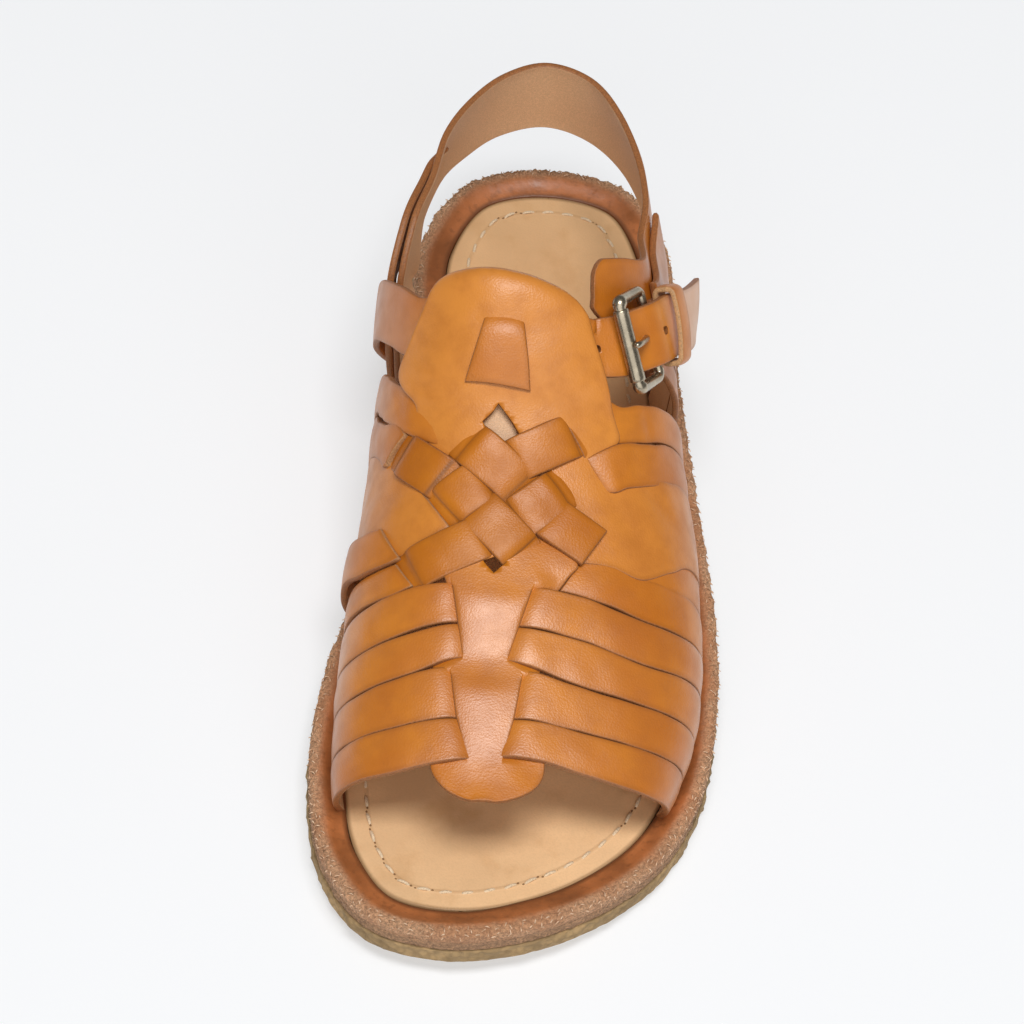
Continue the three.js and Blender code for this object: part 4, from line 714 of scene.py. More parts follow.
def with_end_ladder(places, lengths):
    """Row places with extra rows close to both ends."""
    run = np.concatenate([[0], np.cumsum(lengths)])
    clear = EDGE_LADDER[-1] * 1.4
    inside = run[(run > clear) & (run < run[-1] - clear)]
    marks = np.concatenate([EDGE_LADDER, inside, run[-1] - np.array(EDGE_LADDER[::-1])])
    return np.interp(marks, run, places)


def above_footbed(middle, depth=2.0):
    """Rows of a strap down to a little under the footbed, where its foot goes into the sole."""
    footbed = sole_base(-middle[..., 1]) + FOOTBED_RISE - depth
    inside = np.where((middle[..., 2] > footbed).any(axis=1))[0]
    return middle[max(inside[0] - 1, 0):inside[-1] + 2]


def cross_middle(table, seed, step=1.2, bridge=None, slants=(0, 0)):
    places = close_places(table, [0], step)
    places = with_end_ladder(places, np.abs(np.diff(read_rows(table, places)[:, 0])))
    girth, front, back, lift = read_rows(table, places).T
    shares = across_shares(float(np.mean(front - back)))
    wobble = ripple(np.stack([girth, girth * 0 + seed, girth * 0], -1), 16, seed) * 0.12
    station = (back + wobble)[:, None] + (front - back)[:, None] * shares
    lift = np.broadcast_to(lift[:, None], station.shape)
    fade = np.clip(1 - np.abs(girth[:, None] - girth[[0, -1]]) / SLANT_REACH, 0, 1)
    girth = girth[:, None] + (fade * slants).sum(axis=1)[:, None] * (shares - 0.5)
    if bridge:
        lift = np.maximum(dive_lift(station, girth, BRIDGES[bridge]), 0)
    return above_footbed(LAST.lifted(station, girth, lift))


def dive_lift(station, girth, edges):
    """Lift of a strap that goes through the slits beside a bridge of the centre piece."""
    at, inner, outer = np.array(edges, float).T
    outside = np.maximum(np.interp(station, at, inner) - girth, girth - np.interp(station, at, outer))
    fine = read_rows(STRAP_DIVE, np.linspace(0, len(STRAP_DIVE) - 1, 200))
    return np.interp(outside, fine[:, 0], fine[:, 1])


def crease_relief(name, middle):
    """Soft troughs and ridges of a piece, each along a line between two places on the last."""
    relief = np.zeros(middle.shape[:2])
    spots = middle.reshape(-1, 3)
    for station, girth, to_station, to_girth, half_width, depth in CREASES.get(name, ()):
        start, stop = (
            spots[np.linalg.norm(spots - LAST.lifted(s, g, 3), axis=1).argmin()]
            for s, g in ((station, girth), (to_station, to_girth)))
        run = stop - start
        share = np.clip((middle - start) @ run / (run @ run), 0, 1)
        off = np.linalg.norm(middle - start - share[..., None] * run, axis=-1)
        relief -= depth * np.exp(-(off / half_width) ** 2) * (0.25 + 0.75 * np.sin(math.pi * share))
    return relief


def centre_grid():
    """Middle points of the centre piece, its normals, distance to its open slits and rise of its bridges."""
    station = np.arange(CENTRE_OUTLINE[0][0], CENTRE_OUTLINE[-1][0] + 0.01, 0.9)
    station[-1] = CENTRE_OUTLINE[-1][0]
    station = with_end_ladder(station, np.diff(station))
    _, inner, outer = read_rows(CENTRE_OUTLINE, row_place(CENTRE_OUTLINE, 0, station)).T
    at, slit_in, slit_out = np.array(CENTRE_SLITS, float).T
    slit_in, slit_out = np.interp(station, at, slit_in), np.interp(station, at, slit_out)
    shares = across_shares(10, 1.0)
    gap = SLIT_HALF_GAP
    spans = ((inner, slit_in - gap), (slit_in + gap, slit_out - gap), (slit_out + gap, outer))
    girth = np.concatenate([a[:, None] + (b - a)[:, None] * shares for a, b in spans], axis=1)
    _, beside, between = read_rows(CENTRE_LIFT, row_place(CENTRE_LIFT, 0, station)).T[:, :, None]

    def within_zones(ramp):
        ends = [((station - low) / ramp, (high - station) / ramp) for low, high in SLIT_ZONES]
        return sum(smooth_step(a) * smooth_step(b) for a, b in ends)[:, None]

    zone, swell = within_zones(SLIT_RAMP), within_zones(BRIDGE_RAMP)
    outside = np.maximum(slit_in[:, None] - girth, girth - slit_out[:, None])
    share = np.where(outside < 0, 1, (1 - zone) * smooth_step(1 - outside / BRIDGE_RAMP))
    spread = np.broadcast_to(station[:, None], girth.shape)
    middle = LAST.lifted(spread, girth, beside + (between - beside) * share)
    across = (girth - slit_in[:, None]) / (slit_out - slit_in)[:, None]
    pillow = BRIDGE_PILLOW * swell * np.clip(1 - (2 * across - 1) ** 2, 0, 1)
    return middle, LAST.directions(spread, girth)[2], np.abs(outside) + (1 - zone) * 4, pillow


def long_middle(table, step=1.1):
    places = close_places(table, [0, 4], step)
    rows = read_rows(table, places)
    places = with_end_ladder(places, np.hypot(np.diff(rows[:, 0]), np.diff(rows[:, 4])))
    station, inner, outer, slant, lift = read_rows(table, places).T
    shares = across_shares(float(np.mean(outer - inner)))
    girth = inner[:, None] + (outer - inner)[:, None] * shares
    return LAST.lifted(station[:, None] + slant[:, None] * girth, girth, lift[:, None])


def path_middle(station, girth, width, lift, end_slant=0.0, slant_reach=1):
    """Strip along a middle line on the last, given as close rows."""
    run_s, run_g = np.gradient(station), np.gradient(girth)
    along, across, _ = LAST.directions(station, girth)
    run = along * run_s[:, None] + across * run_g[:, None]
    share_s = (run * across).sum(1)
    share_g = -(run * along).sum(1)
    length = np.linalg.norm(along * share_s[:, None] + across * share_g[:, None], axis=1)
    shares = across_shares(float(np.mean(width))) - 0.5
    reach = shares * width[:, None]
    at_s = station[:, None] + (share_s / length)[:, None] * reach
    at_g = girth[:, None] + (share_g / length)[:, None] * reach
    if end_slant:
        fade = np.clip(1 - (len(station) - 1 - np.arange(len(station))) / slant_reach, 0, 1)[:, None]
        speed = np.hypot(run_s[-1], run_g[-1])
        at_s = at_s + run_s[-1] / speed * fade * shares * end_slant
        at_g = at_g + run_g[-1] / speed * fade * shares * end_slant
    return LAST.lifted(at_s, at_g, lift[:, None])


def close_path(table, step=1.1):
    places = close_places(table, [0, 1], step)
    rows = read_rows(table, places)
    places = with_end_ladder(places, np.hypot(np.diff(rows[:, 0]), np.diff(rows[:, 1])))
    return read_rows(table, places).T


# Frames on the ankle strap

def strap_frame(girth):
    """Middle of the leather, direction to the tail and outward normal of the ankle strap at a girth."""
    def middle(value):
        row = read_rows(ANKLE_STRAP, np.array([row_place(ANKLE_STRAP, 1, value)]))[0]
        return LAST.lifted(row[0], row[1], row[3]), LAST.directions(row[0], row[1])[2]
    origin, rough = middle(girth)
    run = unit(middle(girth + 1.5)[0] - middle(girth - 1.5)[0])
    return origin, run, unit(rough - run * (rough @ run))


def buckle_basis():
    """Origin, axes and length of the buckle between its roller and its hinge bar."""
    roller, _, roller_up = strap_frame(ROLLER_GIRTH)
    hinge, _, hinge_up = strap_frame(HINGE_BAR_GIRTH)
    roller = roller + roller_up * (STRAP_THICKNESS / 2 + ROLLER_CLEARANCE + ROLLER_RADIUS)
    hinge = hinge - hinge_up * (STRAP_THICKNESS / 2 + HINGE_CLEARANCE + BAR_RADIUS)
    run = unit(hinge - roller)
    lean = strap_frame((ROLLER_GIRTH + HINGE_BAR_GIRTH) / 2)[2]
    normal = unit(lean - run * (lean @ run))
    axes = np.stack([run, np.cross(normal, run), normal])
    return (roller + hinge) / 2, axes, float(np.linalg.norm(hinge - roller))


def heel_strap_rows():
    def on_last(row):
        low, high = LAST.lifted(row[0], row[1], row[4]), LAST.lifted(row[2], row[3], row[4])
        return [low[0], -low[1], low[2], high[0], -high[1], high[2]]
    rows = [on_last(row) for row in HEEL_STRAP_TAB] + [list(row) for row in HEEL_STRAP_BACK]
    return np.array(rows + [on_last(row) for row in HEEL_STRAP_LEG])


def heel_strap_point(rows, along, across):
    """Middle points of the heel strap at places along it and shares across it."""
    values = read_rows(rows, np.ravel(along)).reshape(np.shape(along) + (6,))
    low = shoe_points(values[..., 0], values[..., 1], values[..., 2])
    high = shoe_points(values[..., 3], values[..., 4], values[..., 5])
    return low + (high - low) * np.asarray(across)[..., None]


def over_heel_strap(rows, along, across, lift):
    """Points that stand off the heel strap by a lift."""
    point = heel_strap_point(rows, along, across)
    run = heel_strap_point(rows, along + 0.1, across) - point
    width = heel_strap_point(rows, along, across + 0.1) - point
    return point + unit(np.cross(run, width)) * lift


# Materials

class Shader:
    """Node tree of one material, built node by node."""

    def __init__(self, name):
        self.material = bpy.data.materials.new(name)
        self.material.use_nodes = True
        self.tree = self.material.node_tree
        self.surface = self.tree.nodes["Principled BSDF"]
        self.place = self.node("ShaderNodeTexCoord").outputs["Object"]

    def node(self, kind, settings=None, **inputs):
        made = self.tree.nodes.new(kind)
        for key, value in (settings or {}).items():
            setattr(made, key, value)
        for key, value in inputs.items():
            self.put(made.inputs[key], value)
        return made

    def put(self, socket, value):
        if isinstance(value, bpy.types.NodeSocket):
            self.tree.links.new(value, socket)
        else:
            socket.default_value = value

    def noise(self, scale, detail=3.0, rough=0.55, stretch=None):
        place = self.place
        if stretch:
            place = self.node("ShaderNodeMapping", Vector=place, Scale=stretch).outputs["Vector"]
        made = self.node("ShaderNodeTexNoise", Vector=place, Scale=scale, Detail=detail, Roughness=rough)
        return made.outputs["Fac"]

    def cells(self, scale):
        return self.node("ShaderNodeTexVoronoi", Vector=self.place, Scale=scale).outputs["Distance"]

    def attribute(self, name):
        return self.node("ShaderNodeAttribute", {"attribute_name": name}).outputs["Fac"]

    def spread(self, value, low, high, to_low=0.0, to_high=1.0):
        node = self.node("ShaderNodeMapRange", {"interpolation_type": "SMOOTHSTEP"}, Value=value)
        for key, number in (("From Min", low), ("From Max", high), ("To Min", to_low), ("To Max", to_high)):
            node.inputs[key].default_value = number
        return node.outputs["Result"]

    def math(self, operation, first, second):
        node = self.node("ShaderNodeMath", {"operation": operation})
        self.put(node.inputs[0], first)
        self.put(node.inputs[1], second)
        return node.outputs[0]

    def mix(self, share, first, second):
        node = self.node("ShaderNodeMix", {"data_type": "RGBA"})
        self.put(node.inputs[0], share)
        self.put(node.inputs[6], first)
        self.put(node.inputs[7], second)
        return node.outputs[2]

    def blend(self, share, first, second):
        node = self.node("ShaderNodeMix", {"data_type": "FLOAT"})
        self.put(node.inputs[0], share)
        self.put(node.inputs[2], first)
        self.put(node.inputs[3], second)
        return node.outputs[0]

    def bump(self, height, distance, strength=1.0, below=None):
        node = self.node("ShaderNodeBump", Height=height, Distance=distance, Strength=strength)
        if below is not None:
            self.put(node.inputs["Normal"], below)
        return node.outputs["Normal"]

    def finish(self, **inputs):
        for key, value in inputs.items():
            self.put(self.surface.inputs[key.replace("_", " ")], value)
        return self.material


def rgba(colour, share=1.0):
    return (colour[0] * share, colour[1] * share, colour[2] * share, 1.0)


def strap_leather():
    """Satin tan leather with fine pebble grain, raw cut edges and a pale flesh side."""
    look = bpy.context.scene.sandal_colours
    s = Shader("tan_leather")
    cloud, blotch, fibre = s.noise(30, 4), s.noise(150, 5), s.noise(2400, 2)
    edge = s.attribute("edge_distance")
    flesh = s.attribute("flesh")
    pale = s.attribute("pale")
    raw = s.spread(edge, 0.12, 0.5, 1, 0)
    worn = s.spread(edge, 0.3, 2.0, 0.35, 0)
    tan = s.mix(s.spread(cloud, 0.3, 0.72), rgba(look.tan_dark), rgba(look.tan_light))
    tone = s.attribute("tone")
    tan = s.mix(s.spread(tone, 0, 1, 0, 0.9), tan, rgba(look.tan_pale))
    tan = s.mix(s.spread(blotch, 0.35, 0.75, 0, 0.4), tan, rgba(look.tan_dark, 0.85))
    # Below zero the tone darkens: the woven strips' own darker tone, plus painted shade where they dip under
    # each other. Below minus one it is painted shade only.
    tan = s.mix(s.spread(tone, 0, -1, 0, 0.4), tan, rgba(look.tan_dark, 0.6))
    tan = s.mix(s.spread(tone, -1, -2, 0, 0.8), tan, rgba(look.cut_edge, 0.5))
    tan = s.mix(s.spread(tone, 1, 2), tan, rgba(look.bleached))
    tan = s.mix(worn, tan, rgba(look.tan_dark, 0.6))
    nap = s.mix(s.spread(fibre, 0.35, 0.7), rgba(look.flesh, 0.82), rgba(look.flesh))
    dressed, bare = (
        s.mix(s.spread(fibre, 0.3, 0.7), rgba(colour, 0.7), rgba(colour, 1.15))
        for colour in (look.cut_edge, look.raw_edge))
    cut = s.mix(pale, dressed, bare)
    colour = s.mix(raw, s.mix(flesh, tan, nap), cut)
    grain = s.math("ADD", s.cells(1700), s.math("MULTIPLY", s.noise(2800, 2), 0.5))
    soft = s.bump(s.noise(80, 3), 0.0005, 0.12)
    fine = s.bump(grain, 0.00014, 0.32, soft)
    rough = s.blend(s.spread(blotch, 0.3, 0.7), 0.35, 0.47)
    rough = s.blend(s.math("MAXIMUM", flesh, raw), rough, 0.85)
    return s.finish(Base_Color=colour, Roughness=rough, Normal=fine, Specular_IOR_Level=0.4,
                    Coat_Weight=s.attribute("gloss"), Coat_Roughness=0.4, Coat_IOR=1.6, Coat_Normal=fine)


def crepe():
    """Rough cut crepe rubber."""
    look = bpy.context.scene.sandal_colours
    s = Shader("crepe_rubber")
    cloud, crumb = s.noise(60, 4), s.cells(420)
    colour = s.mix(s.spread(cloud, 0.3, 0.7), rgba(look.crepe, 0.75), rgba(look.crepe, 1.15))
    colour = s.mix(s.spread(crumb, 0.3, 0.7, 0, 0.5), colour, rgba(look.crepe, 0.55))
    normal = s.bump(s.noise(700, 4), 0.0004, 0.7, s.bump(crumb, 0.0008, 0.8))
    return s.finish(Base_Color=colour, Roughness=0.88, Normal=normal)


def midsole_leather():
    """Raw edge of the leather midsole, like the rim above it."""
    look = bpy.context.scene.sandal_colours
    s = Shader("midsole_edge")
    crumb = s.noise(1250, 6, 0.75)
    colour = s.mix(s.spread(crumb, 0.36, 0.64), rgba(look.midsole, 0.55), rgba(look.midsole, 1.35))
    streak = s.spread(s.noise(240, 4, stretch=(1, 1, 5)), 0.4, 0.7, 0, 0.5)
    colour = s.mix(streak, colour, rgba(look.midsole, 0.6))
    return s.finish(Base_Color=colour, Roughness=0.88, Normal=s.bump(crumb, 0.0012, 0.8))


def rand_leather():
    """Raw granular rim with a waxed slope towards the insole."""
    look = bpy.context.scene.sandal_colours
    s = Shader("waxed_rand")
    rim, foot = s.attribute("rim"), s.attribute("foot")
    cloud, crumb = s.noise(70, 4), s.noise(1250, 6, 0.75)
    wax = s.mix(s.spread(cloud, 0.32, 0.68), rgba(look.rand_slope, 0.7), rgba(look.rand_slope, 1.25))
    wax = s.mix(s.spread(s.noise(420, 3), 0.5, 0.72, 0, 0.5), wax, rgba(look.rand_slope, 0.5))
    # Painted shade: the slope darkens at its foot, where it meets the insole
    wax = s.mix(foot, wax, rgba(look.rand_slope, 0.42))
    raw = s.mix(s.spread(crumb, 0.36, 0.64), rgba(look.rand_rim, 0.7), rgba(look.rand_rim, 1.5))
    raw = s.mix(s.spread(cloud, 0.4, 0.65, 0, 0.35), raw, rgba(look.rand_slope, 1.1))
    colour = s.mix(rim, wax, raw)
    rough = s.blend(rim, s.spread(cloud, 0.3, 0.7, 0.34, 0.5), 0.9)
    smooth = s.bump(s.noise(260, 4), 0.0005, 0.5)
    normal = s.bump(s.math("MULTIPLY", crumb, rim), 0.0012, 0.85, smooth)
    return s.finish(Base_Color=colour, Roughness=rough, Normal=normal)


def insole_leather():
    """Pale smooth insole."""
    look = bpy.context.scene.sandal_colours
    s = Shader("pale_insole")
    cloud, patch, fine = s.noise(24, 4), s.noise(90, 5), s.noise(1500, 3)
    edge = s.attribute("edge_distance")
    colour = s.mix(s.spread(cloud, 0.3, 0.72), rgba(look.insole, 0.86), rgba(look.insole, 1.06))
    colour = s.mix(s.spread(patch, 0.5, 0.75, 0, 0.4), colour, rgba(look.insole_wear_and_shade))
    # Painted shade towards the heel
    colour = s.mix(s.attribute("heel"), colour, rgba(look.insole_wear_and_shade))
    colour = s.mix(s.spread(fine, 0.4, 0.7, 0, 0.18), colour, rgba(look.insole, 0.7))
    # Darker at the outer edge: partly burnish, partly painted shade where the insole meets the rand
    colour = s.mix(s.spread(edge, 0.15, 1.5, 0.8, 0), colour, rgba(look.insole_wear_and_shade, 0.42))
    groove = s.math("MULTIPLY", s.spread(edge, 5.3, 6.1), s.spread(edge, 6.3, 7.1, 1, 0))
    colour = s.mix(s.math("MULTIPLY", groove, 0.2), colour, rgba(look.insole_wear_and_shade, 0.7))
    normal = s.bump(fine, 0.00012, 0.35, s.bump(s.noise(70, 3), 0.0005, 0.3))
    normal = s.bump(s.math("SUBTRACT", 1.0, groove), 0.0003, 0.4, normal)
    return s.finish(Base_Color=colour, Roughness=0.52, Normal=normal)


def thread():
    look = bpy.context.scene.sandal_colours
    s = Shader("linen_thread")
    strand = s.noise(2600, 2)
    colour = s.mix(s.spread(strand, 0.35, 0.65), rgba(look.thread, 0.7), rgba(look.thread))
    return s.finish(Base_Color=colour, Roughness=0.8, Normal=s.bump(strand, 0.0002, 0.6))


def raw_fibre():
    look = bpy.context.scene.sandal_colours
    s = Shader("raw_fibre")
    colour = s.mix(s.spread(s.noise(900, 2), 0.35, 0.65), rgba(look.rand_rim, 0.9), rgba(look.fibre))
    return s.finish(Base_Color=colour, Roughness=0.9)


# Painted shade of the needle holes at the ends of the stitches
def hole_shade():
    s = Shader("needle_hole")
    shade = s.mix(s.noise(900, 2), (0.2, 0.1, 0.04, 1), (0.32, 0.17, 0.07, 1))
    return s.finish(Base_Color=shade, Roughness=0.9)


def antique_brass():
    """Antique brass with random darker and lighter patches and fine scratches."""
    look = bpy.context.scene.sandal_colours
    s = Shader("antique_brass")
    cloud, scratch = s.noise(220, 4), s.noise(1500, 3)
    colour = s.mix(s.spread(cloud, 0.35, 0.68), rgba(look.brass, 0.8), rgba(look.brass, 1.1))
    rough = s.blend(s.spread(scratch, 0.3, 0.7), 0.25, 0.36)
    return s.finish(Base_Color=colour, Metallic=1.0, Roughness=rough, Normal=s.bump(scratch, 0.00003, 0.2))


def shared(name, build):
    return bpy.data.materials.get(name) or build()


# Settings that a user would change

def tint(name, description, default):
    return bpy.props.FloatVectorProperty(
        name=name, description=description, default=default, size=3, min=0.0, max=1.0, subtype="COLOR")


def measure(name, description, default, low, high):
    return bpy.props.FloatProperty(
        name=name, description=description, default=default, min=low, max=high, unit="LENGTH")


class SandalColours(bpy.types.PropertyGroup):
    """Colours of the sandal's materials."""

    tan_light: tint("Tan, light", "Lighter tone of the strap leather", (0.67, 0.222, 0.014))
    tan_pale: tint("Tan, pale", "Tone of the tongue and the panels", (0.71, 0.265, 0.042))
    tan_dark: tint("Tan, dark", "Darker tone of the strap leather", (0.51, 0.143, 0.006))
    flesh: tint("Flesh side", "Back of the strap leather", (0.76, 0.46, 0.25))
    bleached: tint("Bleached", "Tail of the ankle strap", (0.78, 0.43, 0.23))
    raw_edge: tint("Raw end", "Pale raw end of a strap", (0.52, 0.29, 0.13))
    cut_edge: tint("Cut edge", "Dressed long edge of a strap", (0.33, 0.12, 0.032))
    crepe: tint("Crepe", "Crepe rubber of the outsole and heel", (0.46, 0.3, 0.14))
    midsole: tint("Midsole", "Raw edge of the midsole", (0.5, 0.28, 0.15))
    rand_rim: tint("Rand rim", "Raw rim of the rand", (0.6, 0.34, 0.19))
    fibre: tint("Rand fibres", "Loose fibres on the raw rim", (0.85, 0.62, 0.42))
    rand_slope: tint("Rand slope", "Waxed slope of the rand", (0.42, 0.14, 0.042))
    insole: tint("Insole", "Pale leather underfoot", (0.9, 0.58, 0.31))
    # Colour of the insole's worn patches, also used for its painted shade towards the heel and at its edge
    insole_wear_and_shade: tint("Insole, worn", "Golden patches and burnished edge of the insole", (0.6, 0.32, 0.125))
    thread: tint("Thread", "Thread of the insole's stitches", (0.9, 0.7, 0.47))
    brass: tint("Brass", "Antique brass of the buckle", (0.5, 0.43, 0.32))


class SandalSizes(bpy.types.PropertyGroup):
    """Sizes of the finish that a user would change."""

    stitch_spacing: measure("Stitch spacing", "Distance between two insole stitches", 0.0062, 0.003, 0.02)
    stitch_length: measure("Stitch length", "Length of one stitch of the insole", 0.0046, 0.002, 0.015)
    stitch_inset: measure("Stitch inset", "Distance of the stitches from the edge", 0.0062, 0.003, 0.02)
    fibre_length: measure("Fibre length", "Length of a loose fibre on the rim", 0.0016, 0.0005, 0.004)
    strap_dome: measure("Strap dome", "Rise of a strap's middle over its edges", 0.0003, 0.0, 0.001)
    floor_size: measure("Floor size", "Length of the floor's side", 8.0, 1.0, 20.0)


# Operators

class SANDAL_OT_sole(bpy.types.Operator):
    """Add the crepe layers and the midsole"""

    bl_idname = "sandal.sole"
    bl_label = "Sole layers"

    def layer(self, name, node, rings, material, slot, seed):
        count = OUTLINE_POINTS
        points = []
        for inset, rise, rough in rings:
            loop = outline_loop(np.array([inset]), count)
            z = sole_base(loop[:, 1]) + rise
            spots = shoe_points(loop[:, 0], loop[:, 1], z)
            push = ripple(spots, 5, seed) * rough + ripple(spots, 2.2, seed + 1) * rough * 0.5
            loop = outline_loop(inset + push, count)
            points.append(shoe_points(loop[:, 0], loop[:, 1], z))
        faces = ring_faces(len(rings), count)
        top = (len(rings) - 1) * count
        for start, turned in ((0, True), (top, False)):
            for k in range(count // 2):
                quad = [start + k, start + k + 1, start + count - k - 1, start + (count - k) % count]
                quad = list(dict.fromkeys(quad))
                faces.append(quad[::-1] if turned else quad)
        return make_piece(name, np.concatenate(points), faces, material, node)

    def execute(self, context):
        rubber = shared("crepe_rubber", crepe)
        height = OUTSOLE_THICKNESS - LAYER_GAP
        outsole_edge = [(inset, share * height, rough) for inset, share, rough in CREPE_EDGE]
        self.layer("outsole_crepe", "outsole", outsole_edge, rubber, "crepe", SEED)
        leather = shared("midsole_edge", midsole_leather)
        self.layer("midsole_layer", "midsole", MIDSOLE_EDGE, leather, "midsole_leather", SEED + 3)
        self.heel_lift(rubber)
        return {"FINISHED"}

    def heel_lift(self, rubber):
        """The lift follows the sole's outline as far as the breast."""
        stations = np.linspace(0, HEEL_BREAST_STATION, 90)
        stations = HEEL_BREAST_STATION * (stations / HEEL_BREAST_STATION) ** 1.6
        loop = outline_loop(np.array([0.0]), 2400)
        outer, inner = loop[:1200], loop[1200:][::-1]
        heel = outer[:, 1].min()
        stations = np.maximum(stations, heel + 0.02)
        right = np.interp(stations, outer[:, 1], outer[:, 0])
        left = np.interp(stations, inner[:, 1], inner[:, 0])
        edge = np.concatenate([np.stack([right, stations], 1), np.stack([left, stations], 1)[::-1]])
        points = []
        for inset, share, rough in CREPE_EDGE:
            centre = np.array([0.0, HEEL_BREAST_STATION / 2])
            pull = unit(centre - edge) * inset
            top = np.maximum(sole_base(edge[:, 1]) - LAYER_GAP, 1.2)
            spots = shoe_points(edge[:, 0], edge[:, 1], top * share)
            push = unit(edge - centre) * (ripple(spots, 5, SEED + 5) * rough)[:, None]
            moved = edge + pull + push
            points.append(shoe_points(moved[:, 0], np.minimum(moved[:, 1], HEEL_BREAST_STATION), top * share))
        count = len(edge)
        faces = ring_faces(len(points), count)
        for start, turned in ((0, True), ((len(points) - 1) * count, False)):
            for k in range(count // 2 - 1):
                quad = [start + k, start + k + 1, start + count - k - 2, start + count - k - 1]
                faces.append(quad[::-1] if turned else quad)
        make_piece("heel_lift_crepe", np.concatenate(points), faces, rubber, "heel_lift")


class SANDAL_OT_rand(bpy.types.Operator):
    """Add the raised rim with its rough outer edge and waxed slope"""

    bl_idname = "sandal.rand"
    bl_label = "Rand"

    def execute(self, context):
        count = RAND_POINTS
        points, rim, foot = [], [], []
        for inset, rise, raw, rough in RAND_PROFILE:
            loop = outline_loop(np.array([inset]), count)
            base = sole_base(loop[:, 1]) + MIDSOLE_TOP
            spots = shoe_points(loop[:, 0], loop[:, 1], base + rise)
            push = (ripple(spots, 3, SEED + 8) + 0.6 * ripple(spots, 1.4, SEED + 9)) * rough
            drop = (ripple(spots, 3.4, SEED + 10) + 0.6 * ripple(spots, 1.3, SEED + 11)) * rough
            wave = ripple(spots, 26, SEED + 12) * 0.25 * (1 - raw) * (rise > 0)
            loop = outline_loop(np.maximum(inset + push * 0.6, 0.2) + wave, count)
            points.append(shoe_points(loop[:, 0], loop[:, 1], base + np.maximum(rise + drop * 0.5, 0)))
            rim.append(np.full(count, raw))
            # Share of painted shade at the foot of the slope, next to the insole
            foot.append(np.full(count, float(smooth_step((inset - 8.4) / 1.6))))
        faces = ring_faces(len(RAND_PROFILE), count, True)
        leather = shared("waxed_rand", rand_leather)
        make_piece("rand_rim", np.concatenate(points), faces, leather, "rand",
                   {"rim": np.concatenate(rim), "foot": np.concatenate(foot)})
        return {"FINISHED"}


class SANDAL_OT_insole(bpy.types.Operator):
    """Add the insole with a shallow dish"""

    bl_idname = "sandal.insole"
    bl_label = "Insole"

    def execute(self, context):
        count, columns = OUTLINE_POINTS, 56
        half = count // 2
        shares = 0.5 - 0.5 * np.cos(np.linspace(0, math.pi, columns))
        loop = outline_loop(np.array([FEATHER_MARGIN + 0.1]), count)
        outer = loop[:half + 1]
        inner = np.concatenate([loop[:1], loop[half:][::-1]])
        grid = outer[:, None] + (inner - outer)[:, None] * shares[None, :, None]
        rim = np.array([np.linalg.norm(row[:, None] - loop, axis=2).min(axis=1) for row in grid])
        z = sole_base(grid[..., 1]) + FOOTBED_RISE
        dish = smooth_step(rim / 30) * 0.5 + 0.3 * (1 - smooth_step(rim / 0.5))
        flat = shoe_points(grid[..., 0], grid[..., 1], 0)
        uneven = ripple(flat, 45, SEED + 14) * 0.15 * smooth_step(rim / 8)
        top = shoe_points(grid[..., 0], grid[..., 1], z - dish + uneven)
        low = shoe_points(grid[..., 0], grid[..., 1], z - INSOLE_THICKNESS + 0.05)
        total = (half + 1) * columns
        faces = grid_faces(half + 1, columns) + grid_faces(half + 1, columns, total, True)
        faces += rim_faces(half + 1, columns, total, False, False)
        # Painted shade of the insole towards the heel
        darkest, ends, ramp = HEEL_PAINTED_SHADE
        heel = darkest * smooth_step((ends - grid[..., 1]) / ramp)
        make_piece("insole_bed", np.concatenate([top.reshape(-1, 3), low.reshape(-1, 3)]), faces,
                   shared("pale_insole", insole_leather), "insole",
                   {"edge_distance": np.tile(rim.ravel(), 2), "heel": np.tile(heel.ravel(), 2)})
        return {"FINISHED"}


